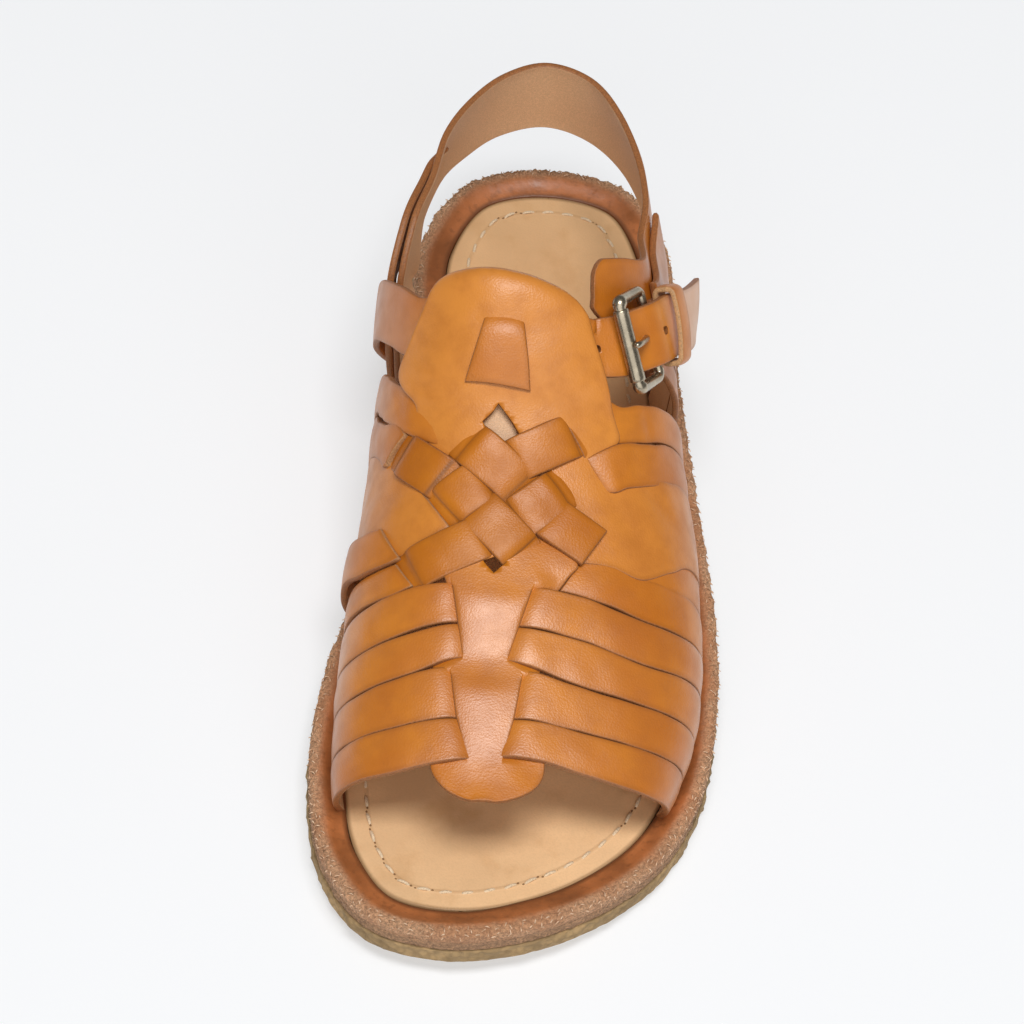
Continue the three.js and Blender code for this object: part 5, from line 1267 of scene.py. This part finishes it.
class SANDAL_OT_stitches(bpy.types.Operator):
    """Add the stitches round the insole and the fibres on the rim with geometry nodes"""

    bl_idname = "sandal.stitches"
    bl_label = "Stitches and fibres"

    def guide(self, inset, rise, count=360):
        loop = outline_loop(np.array([inset]), count)
        z = sole_base(loop[:, 1]) + MIDSOLE_TOP + rise
        points = (shoe_points(loop[:, 0], loop[:, 1], z) + SHIFT) * MM
        mesh = bpy.data.meshes.new("guide_line")
        mesh.from_pydata(points.tolist(), [[k, (k + 1) % count] for k in range(count)], [])
        return mesh

    def stitch(self, length, width, height):
        """Strand of thread that dips into the leather at both ends."""
        rings, sides = 9, 8
        points = []
        for share in np.linspace(-1, 1, rings):
            thick = math.sqrt(max(1 - abs(share) ** 3, 0.02))
            rise = height * (1 - share ** 2) - height * 0.45
            for angle in np.arange(sides) * 2 * math.pi / sides:
                points.append((share * length / 2, width / 2 * thick * math.cos(angle),
                               rise + height / 2 * thick * math.sin(angle)))
        faces = []
        for r in range(rings - 1):
            for k in range(sides):
                n = (k + 1) % sides
                faces.append([r * sides + k, (r + 1) * sides + k, (r + 1) * sides + n, r * sides + n])
        faces += [list(range(sides)), [(rings - 1) * sides + k for k in range(sides)][::-1]]
        mesh = bpy.data.meshes.new("stitch_item")
        mesh.from_pydata(points, [], faces)
        mesh.polygons.foreach_set("use_smooth", [True] * len(mesh.polygons))
        return mesh

    def hole(self, length, width):
        """Two small dark discs, one at each end of a stitch, painting the shade in the needle holes."""
        sides = 10
        points, faces = [], []
        for end in (-1, 1):
            start, middle = len(points), end * length * 0.53
            points.append((middle, 0, 0.00014))
            for angle in np.arange(sides) * 2 * math.pi / sides:
                x, y = width * 0.8 * math.cos(angle), width * 0.62 * math.sin(angle)
                points.append((middle + x, y, 0.00006))
            faces += [[start, start + 1 + k, start + 1 + (k + 1) % sides] for k in range(sides)]
        mesh = bpy.data.meshes.new("hole_item")
        mesh.from_pydata(points, [], faces)
        return mesh

    def execute(self, context):
        sizes = context.scene.sandal_sizes
        guide = self.guide(FEATHER_MARGIN + sizes.stitch_inset / MM, INSOLE_THICKNESS - 0.12)
        strand = self.stitch(sizes.stitch_length, 0.001, 0.0007)
        pits = self.hole(sizes.stitch_length, 0.0005)
        tree = repeat_tree()
        linen, shade = shared("linen_thread", thread), shared("needle_hole", hole_shade)
        loose = shared("raw_fibre", raw_fibre)
        sewn = (("insole_stitches", strand, linen), ("insole_needle_holes", pits, shade))
        for name, item, material in sewn:
            repeat_along(name, guide, item, tree, sizes.stitch_spacing, STITCH_TURN, material,
                         "insole")
        fibre = self.stitch(sizes.fibre_length, 0.0003, 0.0004)
        turn, uneven = FIBRE_TURN
        for k, (inset, rise, spacing) in enumerate(RIM_FIBRES):
            repeat_along(f"rand_fibres_{k}", self.guide(inset, rise), fibre, tree, spacing, turn, loose,
                         "rand", uneven)
        return {"FINISHED"}


def repeat_tree():
    """Geometry nodes that set an item along a closed line, turned a little and uneven by a fixed seed."""
    tree = bpy.data.node_groups.new("repeat_along_line", "GeometryNodeTree")
    face = tree.interface
    for name, kind in (("Geometry", "Geometry"), ("Item", "Object"), ("Spacing", "Float"), ("Turn", "Float"),
                       ("Unevenness", "Float"), ("Seed", "Int"), ("Material", "Material")):
        face.new_socket(name, in_out="INPUT", socket_type="NodeSocket" + kind)
    face.new_socket("Geometry", in_out="OUTPUT", socket_type="NodeSocketGeometry")
    add, link = tree.nodes.new, tree.links.new
    source, result = add("NodeGroupInput"), add("NodeGroupOutput")
    curve, resample = add("GeometryNodeMeshToCurve"), add("GeometryNodeResampleCurve")
    resample.mode = "LENGTH"
    tangent = add("GeometryNodeInputTangent")
    yaw, pitch = add("FunctionNodeAlignRotationToVector"), add("FunctionNodeAlignRotationToVector")
    for node, pivot in ((yaw, "Z"), (pitch, "Y")):
        node.axis = "X"
        node.pivot_axis = pivot
        link(tangent.outputs["Tangent"], node.inputs["Vector"])
    link(yaw.outputs["Rotation"], pitch.inputs["Rotation"])
    item = add("GeometryNodeObjectInfo")
    place = add("GeometryNodeInstanceOnPoints")
    uneven = add("FunctionNodeRandomValue")
    uneven.data_type = "FLOAT"
    low, high = add("ShaderNodeMath"), add("ShaderNodeMath")
    low.operation, high.operation = "SUBTRACT", "ADD"
    turn = add("GeometryNodeRotateInstances")
    spin = add("ShaderNodeCombineXYZ")
    real, paint = add("GeometryNodeRealizeInstances"), add("GeometryNodeSetMaterial")
    link(source.outputs["Geometry"], curve.inputs["Mesh"])
    link(curve.outputs["Curve"], resample.inputs["Curve"])
    link(source.outputs["Spacing"], resample.inputs["Length"])
    link(resample.outputs["Curve"], place.inputs["Points"])
    link(source.outputs["Item"], item.inputs["Object"])
    link(item.outputs["Geometry"], place.inputs["Instance"])
    link(pitch.outputs["Rotation"], place.inputs["Rotation"])
    link(source.outputs["Turn"], low.inputs[0])
    link(source.outputs["Unevenness"], low.inputs[1])
    link(source.outputs["Turn"], high.inputs[0])
    link(source.outputs["Unevenness"], high.inputs[1])
    floats = [socket for socket in uneven.inputs if socket.type == "VALUE"]
    link(low.outputs[0], floats[0])
    link(high.outputs[0], floats[1])
    link(source.outputs["Seed"], uneven.inputs["Seed"])
    values = [socket for socket in uneven.outputs if socket.type == "VALUE"]
    link(values[0], spin.inputs["Z"])
    link(place.outputs["Instances"], turn.inputs["Instances"])
    link(spin.outputs["Vector"], turn.inputs["Rotation"])
    link(turn.outputs["Instances"], real.inputs["Geometry"])
    link(real.outputs["Geometry"], paint.inputs["Geometry"])
    link(source.outputs["Material"], paint.inputs["Material"])
    link(paint.outputs["Geometry"], result.inputs["Geometry"])
    return tree


def repeat_along(name, guide, item, tree, spacing, turn, material, node, uneven=0.09):
    """Piece made of one item repeated along a line, as a plain mesh."""
    scene = bpy.context.scene
    helper = bpy.data.objects.new(name + "_item", item)
    piece = bpy.data.objects.new(name, guide.copy())
    for made in (helper, piece):
        scene.collection.objects.link(made)
    nodes = piece.modifiers.new("repeat", "NODES")
    nodes.node_group = tree
    inputs = [socket for socket in tree.interface.items_tree if socket.in_out == "INPUT"]
    sockets = {socket.name: socket.identifier for socket in inputs}
    for label, value in (("Item", helper), ("Spacing", spacing), ("Turn", turn), ("Unevenness", uneven),
                         ("Seed", SEED), ("Material", material)):
        nodes[sockets[label]] = value
    made = bpy.data.meshes.new_from_object(piece.evaluated_get(bpy.context.evaluated_depsgraph_get()))
    piece.modifiers.clear()
    piece.data = made
    bpy.data.objects.remove(helper)
    return hand_over(piece, node)


class SANDAL_OT_cross_straps(bpy.types.Operator):
    """Add the straps and panels that cross the foot"""

    bl_idname = "sandal.cross_straps"
    bl_label = "Cross straps"

    def execute(self, context):
        leather = shared("tan_leather", strap_leather)
        dome = context.scene.sandal_sizes.strap_dome / MM
        for k, (name, table) in enumerate(CROSS_STRAPS.items()):
            bridge = next((label for label in BRIDGES if name.startswith(label)), None)
            if name.endswith("half"):
                edge = 2 if "fore" in name else 1
                shift = np.where(np.arange(4) == edge, SLIT_CLOSING[edge], 0)
                table = np.array(table, float) + shift
            middle = cross_middle(table, SEED + k, bridge=bridge, slants=END_SLANTS.get(name, (0, 0)))
            relief = ripple(middle, 22, SEED + 40 + k) * 0.12 + crease_relief(name, middle)
            tone = 0.6 if name.endswith("panel") else (k * 0.37) % 1 * 0.25
            gloss = 0.7 if name.endswith("half") else 0.35
            leather_sheet(name, middle, "upper", leather, outward=-1, dome=dome, relief=relief, tone=tone,
                          pale_ends=(False, name.startswith("inner")), gloss=gloss)
        return {"FINISHED"}


class SANDAL_OT_centre_pieces(bpy.types.Operator):
    """Add the centre piece's tab and bridges, the tongue and its locking tab"""

    bl_idname = "sandal.centre_pieces"
    bl_label = "Centre pieces and tongue"

    def execute(self, context):
        leather = shared("tan_leather", strap_leather)
        dome = context.scene.sandal_sizes.strap_dome / MM
        for k, (name, table) in enumerate(LONG_PIECES.items()):
            middle = long_middle(table)
            relief = ripple(middle, 26, SEED + 60 + k) * 0.18 + crease_relief(name, middle)
            leather_sheet(name, middle, "upper", leather, outward=1, dome=dome, relief=relief,
                          tone=0.8 - 0.5 * k, gloss=0.3)
        middle, normal, slit_distance, pillow = centre_grid()
        relief = ripple(middle, 24, SEED + 58) * 0.15 + pillow
        forward = middle[..., 1].mean(1)
        share = (forward - forward[0]) / (forward[-1] - forward[0])
        on_tab = smooth_step((share - TAB_BEGINS[0]) / (TAB_BEGINS[1] - TAB_BEGINS[0]))
        gloss = CENTRE_GLOSS[0] + (CENTRE_GLOSS[1] - CENTRE_GLOSS[0]) * on_tab
        leather_sheet("centre_piece", middle, "upper", leather, relief=relief, tone=0.12, gloss=gloss,
                      normal=normal, slit_distance=slit_distance)
        return {"FINISHED"}


class SANDAL_OT_weave(bpy.types.Operator):
    """Add the four woven strips over the instep"""

    bl_idname = "sandal.weave"
    bl_label = "Woven strips"

    def execute(self, context):
        leather = shared("tan_leather", strap_leather)
        for k, (name, table) in enumerate(WOVEN_STRIPS.items()):
            station, girth, lift = close_path(table, 0.6)
            level, swing, turn = WEAVE_LEVELS
            half, place = len(lift) // 2, np.arange(len(lift))
            within = (place > np.argmax(lift[:half])) & (place < half + np.argmax(lift[half:]))
            step = np.tanh(WEAVE_STEEPNESS * (lift - np.where(within, turn, level)) / swing)
            lift = np.where(lift > level - swing, level + swing * step, lift)
            # Painted shade: the tone darkens where a strip dips under the next
            dark, width = WEAVE_PAINTED_SHADE
            tone = WEAVE_TONES[k] - dark * np.exp(-((lift - level) / (width * swing)) ** 2)
            middle = path_middle(station, girth, np.full(len(station), WEAVE_WIDTH), lift)
            leather_sheet(name, middle, "upper", leather, outward=facing(middle), dome=WEAVE_DOME,
                          relief=ripple(middle, 18, SEED + 80 + k) * 0.12, tone=tone, gloss=0.0)
        # Pale sheet that paints the lit insole seen through the opening under the tongue
        rows, columns = np.meshgrid(np.linspace(*PAINTED_LIGHT_SHEET[0], 20), np.linspace(*PAINTED_LIGHT_SHEET[1], 18), indexing="ij")
        middle = LAST.lifted(rows, columns, PAINTED_LIGHT_SHEET_LIFT)
        leather_sheet("tongue_lining", middle, "upper", leather, thickness=1.2, outward=-facing(middle),
                      rounding=0.3)
        for name, (station, girth, to_station, to_girth, way_s, way_g, near, far) in SLIT_LIPS.items():
            along = with_end_ladder(np.linspace(0, 1, 13), np.full(12, 1.0))[:, None]
            across = across_shares(math.hypot(way_s, way_g), 0.6)
            rise = far + (near - far) * (1 - across) * np.sin(math.pi * along) ** 0.5
            middle = LAST.lifted(station + (to_station - station) * along + way_s * across,
                                 girth + (to_girth - girth) * along + way_g * across, rise)
            leather_sheet(name, middle, "upper", leather, thickness=1.4, outward=facing(middle), tone=0.1,
                          rounding=0.35)
        return {"FINISHED"}


class SANDAL_OT_weave_holes(bpy.types.Operator):
    """Cut the openings between the woven strips"""

    bl_idname = "sandal.weave_holes"
    bl_label = "Weave openings"

    def execute(self, context):
        for names, corners in WEAVE_HOLES.values():
            station, girth = np.array(corners, float).T
            low, high = (LAST.lifted(station, girth, lift) for lift in OPENING_REACH)
            for name in names:
                cut_away(bpy.data.objects[name], low, high)
        return {"FINISHED"}


def cut_away(piece, low_ring, high_ring):
    """Takes the prism between two rings out of a piece, and leaves its cut walls as raw edges."""
    count = len(low_ring)
    points = np.concatenate([low_ring, high_ring])
    faces = [[k, (k + 1) % count, count + (k + 1) % count, count + k] for k in range(count)]
    faces += [list(range(count))[::-1], list(range(count, 2 * count))]
    mesh = bpy.data.meshes.new("cutter")
    mesh.from_pydata(((points + SHIFT) * MM).tolist(), [], faces)
    layer = mesh.attributes.new("edge_distance", "FLOAT", "POINT")
    layer.data.foreach_set("value", np.full(len(mesh.vertices), CUT_EDGE, np.float32))
    cutter = bpy.data.objects.new("cutter", mesh)
    bpy.context.scene.collection.objects.link(cutter)
    outward_normals(cutter)
    cut = piece.modifiers.new("opening", "BOOLEAN")
    cut.operation = "DIFFERENCE"
    cut.object = cutter
    cut.solver = "EXACT"
    made = bpy.data.meshes.new_from_object(piece.evaluated_get(bpy.context.evaluated_depsgraph_get()))
    piece.modifiers.clear()
    piece.data = made
    bpy.data.objects.remove(cutter)


def facing(middle):
    """Which way a sheet's rows and columns turn: 1 if their normal points away from the foot."""
    i, j = middle.shape[0] // 2, middle.shape[1] // 2
    normal = np.cross(middle[i + 1, j] - middle[i - 1, j], middle[i, j + 1] - middle[i, j - 1])
    return 1 if normal @ (middle[i, j] - np.array([-6.0, middle[i, j, 1], 30.0])) > 0 else -1


class SANDAL_OT_heel_strap(bpy.types.Operator):
    """Add the heel strap with its grain outside and its flesh side within"""

    bl_idname = "sandal.heel_strap"
    bl_label = "Heel strap"

    def execute(self, context):
        rows = heel_strap_rows()
        places = close_places(rows, [0, 1, 2], 1.6)
        lengths = np.linalg.norm(np.diff(read_rows(rows, places)[:, :3], axis=0), axis=1)
        places = with_end_ladder(places, lengths)
        shares = across_shares(27, 1.6)
        along, across = np.meshgrid(places, shares, indexing="ij")
        start = heel_strap_point(rows, np.zeros(2), np.array([0.0, 1.0]))
        width = np.linalg.norm(start[1] - start[0])
        run = np.linalg.norm(heel_strap_point(rows, places, places * 0 + 0.5) - start.mean(axis=0), axis=1)
        trim = TAB_CORNER - np.sqrt(TAB_CORNER ** 2 - np.clip(TAB_CORNER - run, 0, TAB_CORNER) ** 2)
        trim = np.where(places < 1, trim, 0)[:, None] / width
        across = trim * 0.4 + across * (1 - trim * 1.4)
        middle = above_footbed(heel_strap_point(rows, along, across))
        relief = ripple(middle, 40, SEED + 100) * 0.25
        leather = shared("tan_leather", strap_leather)
        band = leather_sheet("heel_strap_band", middle, "heel_strap", leather, outward=facing(middle),
                             relief=relief, tone=0.1)
        self.slot(band, rows, *LEG_SLOT)
        self.layer(rows, leather)
        return {"FINISHED"}

    def slot(self, band, rows, place, low, high, half_width):
        """Cuts the slot that the second layer of the leg goes through."""
        middle = heel_strap_point(rows, np.array([place, place]), np.array([low, high]))
        run = unit(heel_strap_point(rows, np.array([place + 0.1]), np.array([0.5]))[0] - middle.mean(axis=0))
        normal = unit(np.cross(run, middle[1] - middle[0]))
        corners = ((0, -1), (0, 1), (1, 1), (1, -1))
        ring = np.array([middle[end] + run * half_width * way for end, way in corners])
        reach = normal * 2 * STRAP_THICKNESS
        cut_away(band, ring - reach, ring + reach)

    def layer(self, rows, leather):
        """Second layer outside the inner leg, down to the sole."""
        places = close_places(LEG_LAYER, [0], 0.06)
        along, low, high, lift_low, lift_high = read_rows(LEG_LAYER, places).T[:, :, None]
        shares = across_shares(25, 1.5)
        across = low + (high - low) * shares
        along = np.broadcast_to(along, across.shape)
        lift = lift_low + (lift_high - lift_low) * shares
        middle = above_footbed(over_heel_strap(rows, along, across, lift[..., None]))
        leather_sheet("heel_strap_layer", middle, "heel_strap", leather, outward=facing(middle), tone=0.1,
                      relief=ripple(middle, 30, SEED + 102) * 0.15)


class SANDAL_OT_quarter(bpy.types.Operator):
    """Add the quarter's strips and its locking end over the heel strap"""

    bl_idname = "sandal.quarter"
    bl_label = "Quarter"

    def execute(self, context):
        leather = shared("tan_leather", strap_leather)
        for k, (name, table) in enumerate(QUARTER_STRIPS.items()):
            middle = cross_middle(table, SEED + 110 + k)
            leather_sheet(name, middle, "quarter_strap", leather, outward=facing(middle), tone=0.1,
                          relief=ripple(middle, 24, SEED + 120 + k) * 0.12)
        rows = heel_strap_rows()
        places = close_places(LOCK_STRIP, [0], 0.06)
        along, low, high = read_rows(LOCK_STRIP, places).T
        shares = across_shares(17, 1.5)
        place = np.repeat(along[:, None], len(shares), axis=1)
        across = low[:, None] + (high - low)[:, None] * shares
        middle = over_heel_strap(rows, place, across, LOCK_STRIP_LIFT)
        leather_sheet("quarter_lock", middle, "quarter_strap", leather, outward=facing(middle), tone=0.05)
        return {"FINISHED"}


class SANDAL_OT_ankle_strap(bpy.types.Operator):
    """Add the ankle strap with its punched holes and free tail"""

    bl_idname = "sandal.ankle_strap"
    bl_label = "Ankle strap"

    def execute(self, context):
        station, girth, width, lift = close_path(ANKLE_STRAP, 1.3)
        middle = above_footbed(path_middle(station, girth, width, lift, TAIL_SLANT, 16))
        run = run_lengths(middle, 0).mean(axis=1)
        tone = 0.15 + 1.5 * smooth_step((run - run[-1] + TAIL_LENGTH) / 10)
        relief = ripple(middle, 34, SEED + 130) * 0.15 + crease_relief("ankle_strap_band", middle)
        piece = leather_sheet("ankle_strap_band", middle, "ankle_strap", shared("tan_leather", strap_leather),
                              outward=facing(middle), dome=0.2, tone=tone, relief=relief)
        for girth in STRAP_HOLE_GIRTHS:
            self.punch(piece, *strap_frame(girth), STRAP_HOLE_RADIUS)
        return {"FINISHED"}

    def punch(self, piece, place, run, normal, radius, sides=24):
        side = np.cross(normal, run)
        angle = np.arange(sides)[:, None] * 2 * math.pi / sides
        ring = place + (run * np.cos(angle) + side * np.sin(angle)) * radius
        reach = normal * 1.5 * STRAP_THICKNESS
        cut_away(piece, ring - reach, ring + reach)


def bar_mesh(name, path, plane_normal, radius, sides, closed=False):
    """Plain object of a round bar along points in one plane, with flat caps on its open ends."""
    path = np.asarray(path, float)
    count = len(path)
    if closed:
        run = np.roll(path, -1, axis=0) - np.roll(path, 1, axis=0)
    else:
        run = np.gradient(path, axis=0)
    run = unit(run)
    outward = unit(np.cross(run, plane_normal))
    up = unit(np.cross(outward, run))
    radii = np.broadcast_to(np.asarray(radius, float), (count,))
    angle = np.arange(sides) * 2 * math.pi / sides
    ring = outward[:, None] * np.cos(angle)[None, :, None] + up[:, None] * np.sin(angle)[None, :, None]
    points = (path[:, None] + ring * radii[:, None, None]).reshape(-1, 3)
    faces = []
    for i in range(count if closed else count - 1):
        for k in range(sides):
            n = (k + 1) % sides
            j = (i + 1) % count
            faces.append([i * sides + k, i * sides + n, j * sides + n, j * sides + k])
    if not closed:
        faces += [list(range(sides))[::-1], [(count - 1) * sides + k for k in range(sides)]]
    mesh = bpy.data.meshes.new(name)
    mesh.from_pydata(((points + SHIFT) * MM).tolist(), [], faces)
    mesh.polygons.foreach_set("use_smooth", [True] * len(mesh.polygons))
    made = bpy.data.objects.new(name, mesh)
    bpy.context.scene.collection.objects.link(made)
    return made


class SANDAL_OT_keeper(bpy.types.Operator):
    """Add the leather loop that holds the strap's tail"""

    bl_idname = "sandal.keeper"
    bl_label = "Keeper"

    def execute(self, context):
        origin, run, normal = strap_frame(KEEPER_GIRTH)
        side = np.cross(normal, run)
        width = ANKLE_STRAP_WIDTH / 2 + 2 * PIECE_GAP + KEEPER_THICKNESS / 2
        height = STRAP_THICKNESS / 2 + 2.5 * PIECE_GAP + KEEPER_THICKNESS / 2
        corner = KEEPER_CORNER - KEEPER_THICKNESS / 2
        loop = []
        for u, v, start in ((1, 1, 0), (-1, 1, 90), (-1, -1, 180), (1, -1, 270)):
            for k in range(7):
                angle = math.radians(start + 15 * k)
                loop.append((u * (width - corner) + corner * math.cos(angle),
                             v * (height - corner) + corner * math.sin(angle)))
            following = {(1, 1): (-1, 1), (-1, 1): (-1, -1), (-1, -1): (1, -1), (1, -1): (1, 1)}[(u, v)]
            end = loop[-1]
            stop = (following[0] * (width - corner), following[1] * (height - corner))
            target = (stop[0] if u != following[0] else end[0], stop[1] if v != following[1] else end[1])
            steps = max(2, round(math.dist(end, target) / 1.5))
            loop += [(end[0] + (target[0] - end[0]) * n / steps, end[1] + (target[1] - end[1]) * n / steps)
                     for n in range(1, steps)]
        loop = np.array(loop)
        loop[:, 1] += np.where(loop[:, 1] > 0, KEEPER_ARCH * (1 - (loop[:, 0] / width) ** 2), 0)
        shares = across_shares(KEEPER_WIDTH, 1.2) - 0.5
        ring = side[None] * loop[:, :1] + normal[None] * loop[:, 1:]
        middle = origin + ring[:, None] + run[None, None] * (shares * KEEPER_WIDTH)[None, :, None]
        normals = np.cross(middle[1, 0] - middle[0, 0], middle[0, 1] - middle[0, 0])
        outward = 1 if normals @ (middle[0, 0] - origin) > 0 else -1
        leather_sheet("keeper_ring", middle, "keeper_loop", shared("tan_leather", strap_leather),
                      thickness=KEEPER_THICKNESS, outward=outward, closed=True, dome=0.3, tone=0.6,
                      pale_rim=1.0, rounding=0.5)
        return {"FINISHED"}


class SANDAL_OT_buckle(bpy.types.Operator):
    """Add the buckle's frame, roller and prong"""

    bl_idname = "sandal.buckle"
    bl_label = "Buckle"

    def execute(self, context):
        brass = shared("antique_brass", antique_brass)
        origin, axes, length = buckle_basis()

        def in_shoe(points):
            return origin + np.asarray(points, float) @ axes

        outline = []
        for u, v, start in ((1, 1, 0), (-1, 1, 90), (-1, -1, 180), (1, -1, 270)):
            for k in range(9):
                angle = math.radians(start + 90 * k / 8)
                outline.append((u * (length / 2 - BUCKLE_CORNER) + BUCKLE_CORNER * math.cos(angle),
                                v * (BUCKLE_WIDTH / 2 - BUCKLE_CORNER) + BUCKLE_CORNER * math.sin(angle), 0))
        outline = np.array(outline)
        lugs = np.hypot(outline[:, 0] + length / 2 - 0.6, np.abs(outline[:, 1]) - BUCKLE_WIDTH / 2 + 0.6)
        radii = BAR_RADIUS + LUG_SWELL * np.exp(-(lugs / 1.6) ** 2)
        pieces = {"buckle_frame": bar_mesh("buckle_frame", in_shoe(outline), axes[2], radii, 24, True)}
        half = ROLLER_LENGTH / 2
        end = [(half, 1.95), (half, 2.15), (half - 0.25, ROLLER_RADIUS), (half - 1, ROLLER_RADIUS)]
        profile = [(-y, r) for y, r in end] + [(0, ROLLER_RADIUS)] + end[::-1]
        path = in_shoe([(-length / 2, y, 0) for y, _ in profile])
        spread = np.linspace(-1e-4, 1e-4, len(profile))[:, None] * axes[1]
        radii = [radius for _, radius in profile]
        pieces["buckle_roller"] = bar_mesh("buckle_roller", path + spread, axes[2], radii, 40)
        reach = BAR_RADIUS + PIECE_GAP + PRONG_RADIUS
        top = ROLLER_RADIUS + PIECE_GAP + PRONG_RADIUS
        hook = [(length / 2 + reach * math.cos(a), reach * math.sin(a))
                for a in -math.pi * (0.28 + 0.4 * np.linspace(0, 1, 9))]
        tip = [(-length / 2, top), (-length / 2 - ROLLER_RADIUS, top - 0.5)]
        table = np.array(hook + list(PRONG_RISE) + tip)
        fine = read_rows(table, np.linspace(0, len(table) - 1, 6 * len(table)))
        radii = np.full(len(fine), PRONG_RADIUS)
        radii[-4:] = PRONG_RADIUS * np.array([0.97, 0.86, 0.66, 0.3])
        path = in_shoe(np.stack([fine[:, 0], fine[:, 0] * 0, fine[:, 1]], 1))
        pieces["buckle_prong"] = bar_mesh("buckle_prong", path, axes[1], radii, 16)
        for name, piece in pieces.items():
            piece.data.materials.append(brass)
            outward_normals(piece)
            hand_over(piece, name)
        return {"FINISHED"}


def outward_normals(piece):
    """Turns the faces of a closed mesh outwards."""
    points = np.array([v.co for v in piece.data.vertices])
    volume = 0.0
    for face in piece.data.polygons:
        a, *rest = face.vertices
        for b, c in zip(rest, rest[1:]):
            volume += points[a] @ np.cross(points[b], points[c])
    if volume < 0:
        piece.data.flip_normals()


class SANDAL_OT_stage(bpy.types.Operator):
    """Add the floor, the lights and the camera"""

    bl_idname = "sandal.stage"
    bl_label = "Stage"

    def light(self, name, place, size, power, colour):
        lamp = bpy.data.lights.new(name, "AREA")
        lamp.shape = "RECTANGLE"
        lamp.size, lamp.size_y = size
        lamp.energy = power
        lamp.color = colour
        made = bpy.data.objects.new(name, lamp)
        made.location = place
        made.rotation_euler = (Vector(LIGHT_AIM) - Vector(place)).to_track_quat("-Z", "Y").to_euler()
        bpy.context.scene.collection.objects.link(made)

    def floor(self, size):
        mesh = bpy.data.meshes.new("floor")
        h = size / 2
        mesh.from_pydata([(-h, -h, 0), (h, -h, 0), (h, h, 0), (-h, h, 0)], [], [[0, 1, 2, 3]])
        s = Shader("floor")
        tone = s.mix(s.noise(3, 2), (0.45, 0.46, 0.475, 1), (0.48, 0.49, 0.505, 1))
        mesh.materials.append(s.finish(
            Base_Color=tone, Roughness=0.8, Emission_Color=(0.98, 0.99, 1, 1), Emission_Strength=0.485))
        made = bpy.data.objects.new("floor", mesh)
        bpy.context.scene.collection.objects.link(made)

    def execute(self, context):
        scene = context.scene
        self.floor(scene.sandal_sizes.floor_size)
        for name, (place, size, power, colour) in LIGHTS.items():
            self.light(name, place, size, power, colour)
        world = bpy.data.worlds.new("studio")
        world.use_nodes = True
        back = world.node_tree.nodes["Background"]
        back.inputs["Color"].default_value = (1, 1, 1, 1)
        back.inputs["Strength"].default_value = WORLD_STRENGTH
        scene.world = world
        scene.view_settings.view_transform = "Standard"
        scene.view_settings.look = "None"
        lens = bpy.data.cameras.new("camera")
        lens.lens = CAMERA_LENS
        lens.sensor_width = 36
        lens.clip_start, lens.clip_end = 0.05, 20
        camera = bpy.data.objects.new("camera", lens)
        place, aim = Vector(CAMERA_PLACE) * MM, Vector(CAMERA_AIM) * MM
        turn = (aim - place).to_track_quat("-Z", "Y").to_matrix() @ Matrix.Rotation(-CAMERA_ROLL, 3, "Z")
        camera.matrix_world = Matrix.Translation(place) @ turn.to_4x4()
        scene.collection.objects.link(camera)
        scene.camera = camera
        return {"FINISHED"}


class SANDAL_PT_build(bpy.types.Panel):
    """Buttons and settings of the sandal"""

    bl_idname = "SANDAL_PT_build"
    bl_label = "Roman sandal"
    bl_space_type = "VIEW_3D"
    bl_region_type = "UI"
    bl_category = "Sandal"

    def draw(self, context):
        layout = self.layout
        for group in (context.scene.sandal_sizes, context.scene.sandal_colours):
            box = layout.box()
            for name in group.__annotations__:
                box.prop(group, name)
        for operator in OPERATORS:
            layout.operator(operator.bl_idname)


OPERATORS = (
    SANDAL_OT_sole, SANDAL_OT_rand, SANDAL_OT_insole, SANDAL_OT_stitches, SANDAL_OT_cross_straps,
    SANDAL_OT_centre_pieces, SANDAL_OT_weave, SANDAL_OT_weave_holes, SANDAL_OT_heel_strap, SANDAL_OT_quarter,
    SANDAL_OT_ankle_strap, SANDAL_OT_keeper, SANDAL_OT_buckle, SANDAL_OT_stage,
)
CLASSES = (SandalColours, SandalSizes, *OPERATORS, SANDAL_PT_build)


def register():
    for made in CLASSES:
        bpy.utils.register_class(made)
    bpy.types.Scene.sandal_colours = bpy.props.PointerProperty(type=SandalColours)
    bpy.types.Scene.sandal_sizes = bpy.props.PointerProperty(type=SandalSizes)


def unregister():
    del bpy.types.Scene.sandal_sizes
    del bpy.types.Scene.sandal_colours
    for made in reversed(CLASSES):
        bpy.utils.unregister_class(made)


def main():
    register()
    bpy.ops.sandal.sole()
    bpy.ops.sandal.rand()
    bpy.ops.sandal.insole()
    bpy.ops.sandal.stitches()
    bpy.ops.sandal.cross_straps()
    bpy.ops.sandal.centre_pieces()
    bpy.ops.sandal.weave()
    bpy.ops.sandal.weave_holes()
    bpy.ops.sandal.heel_strap()
    bpy.ops.sandal.quarter()
    bpy.ops.sandal.ankle_strap()
    bpy.ops.sandal.keeper()
    bpy.ops.sandal.buckle()
    bpy.ops.sandal.stage()


if __name__ == "__main__":
    main()
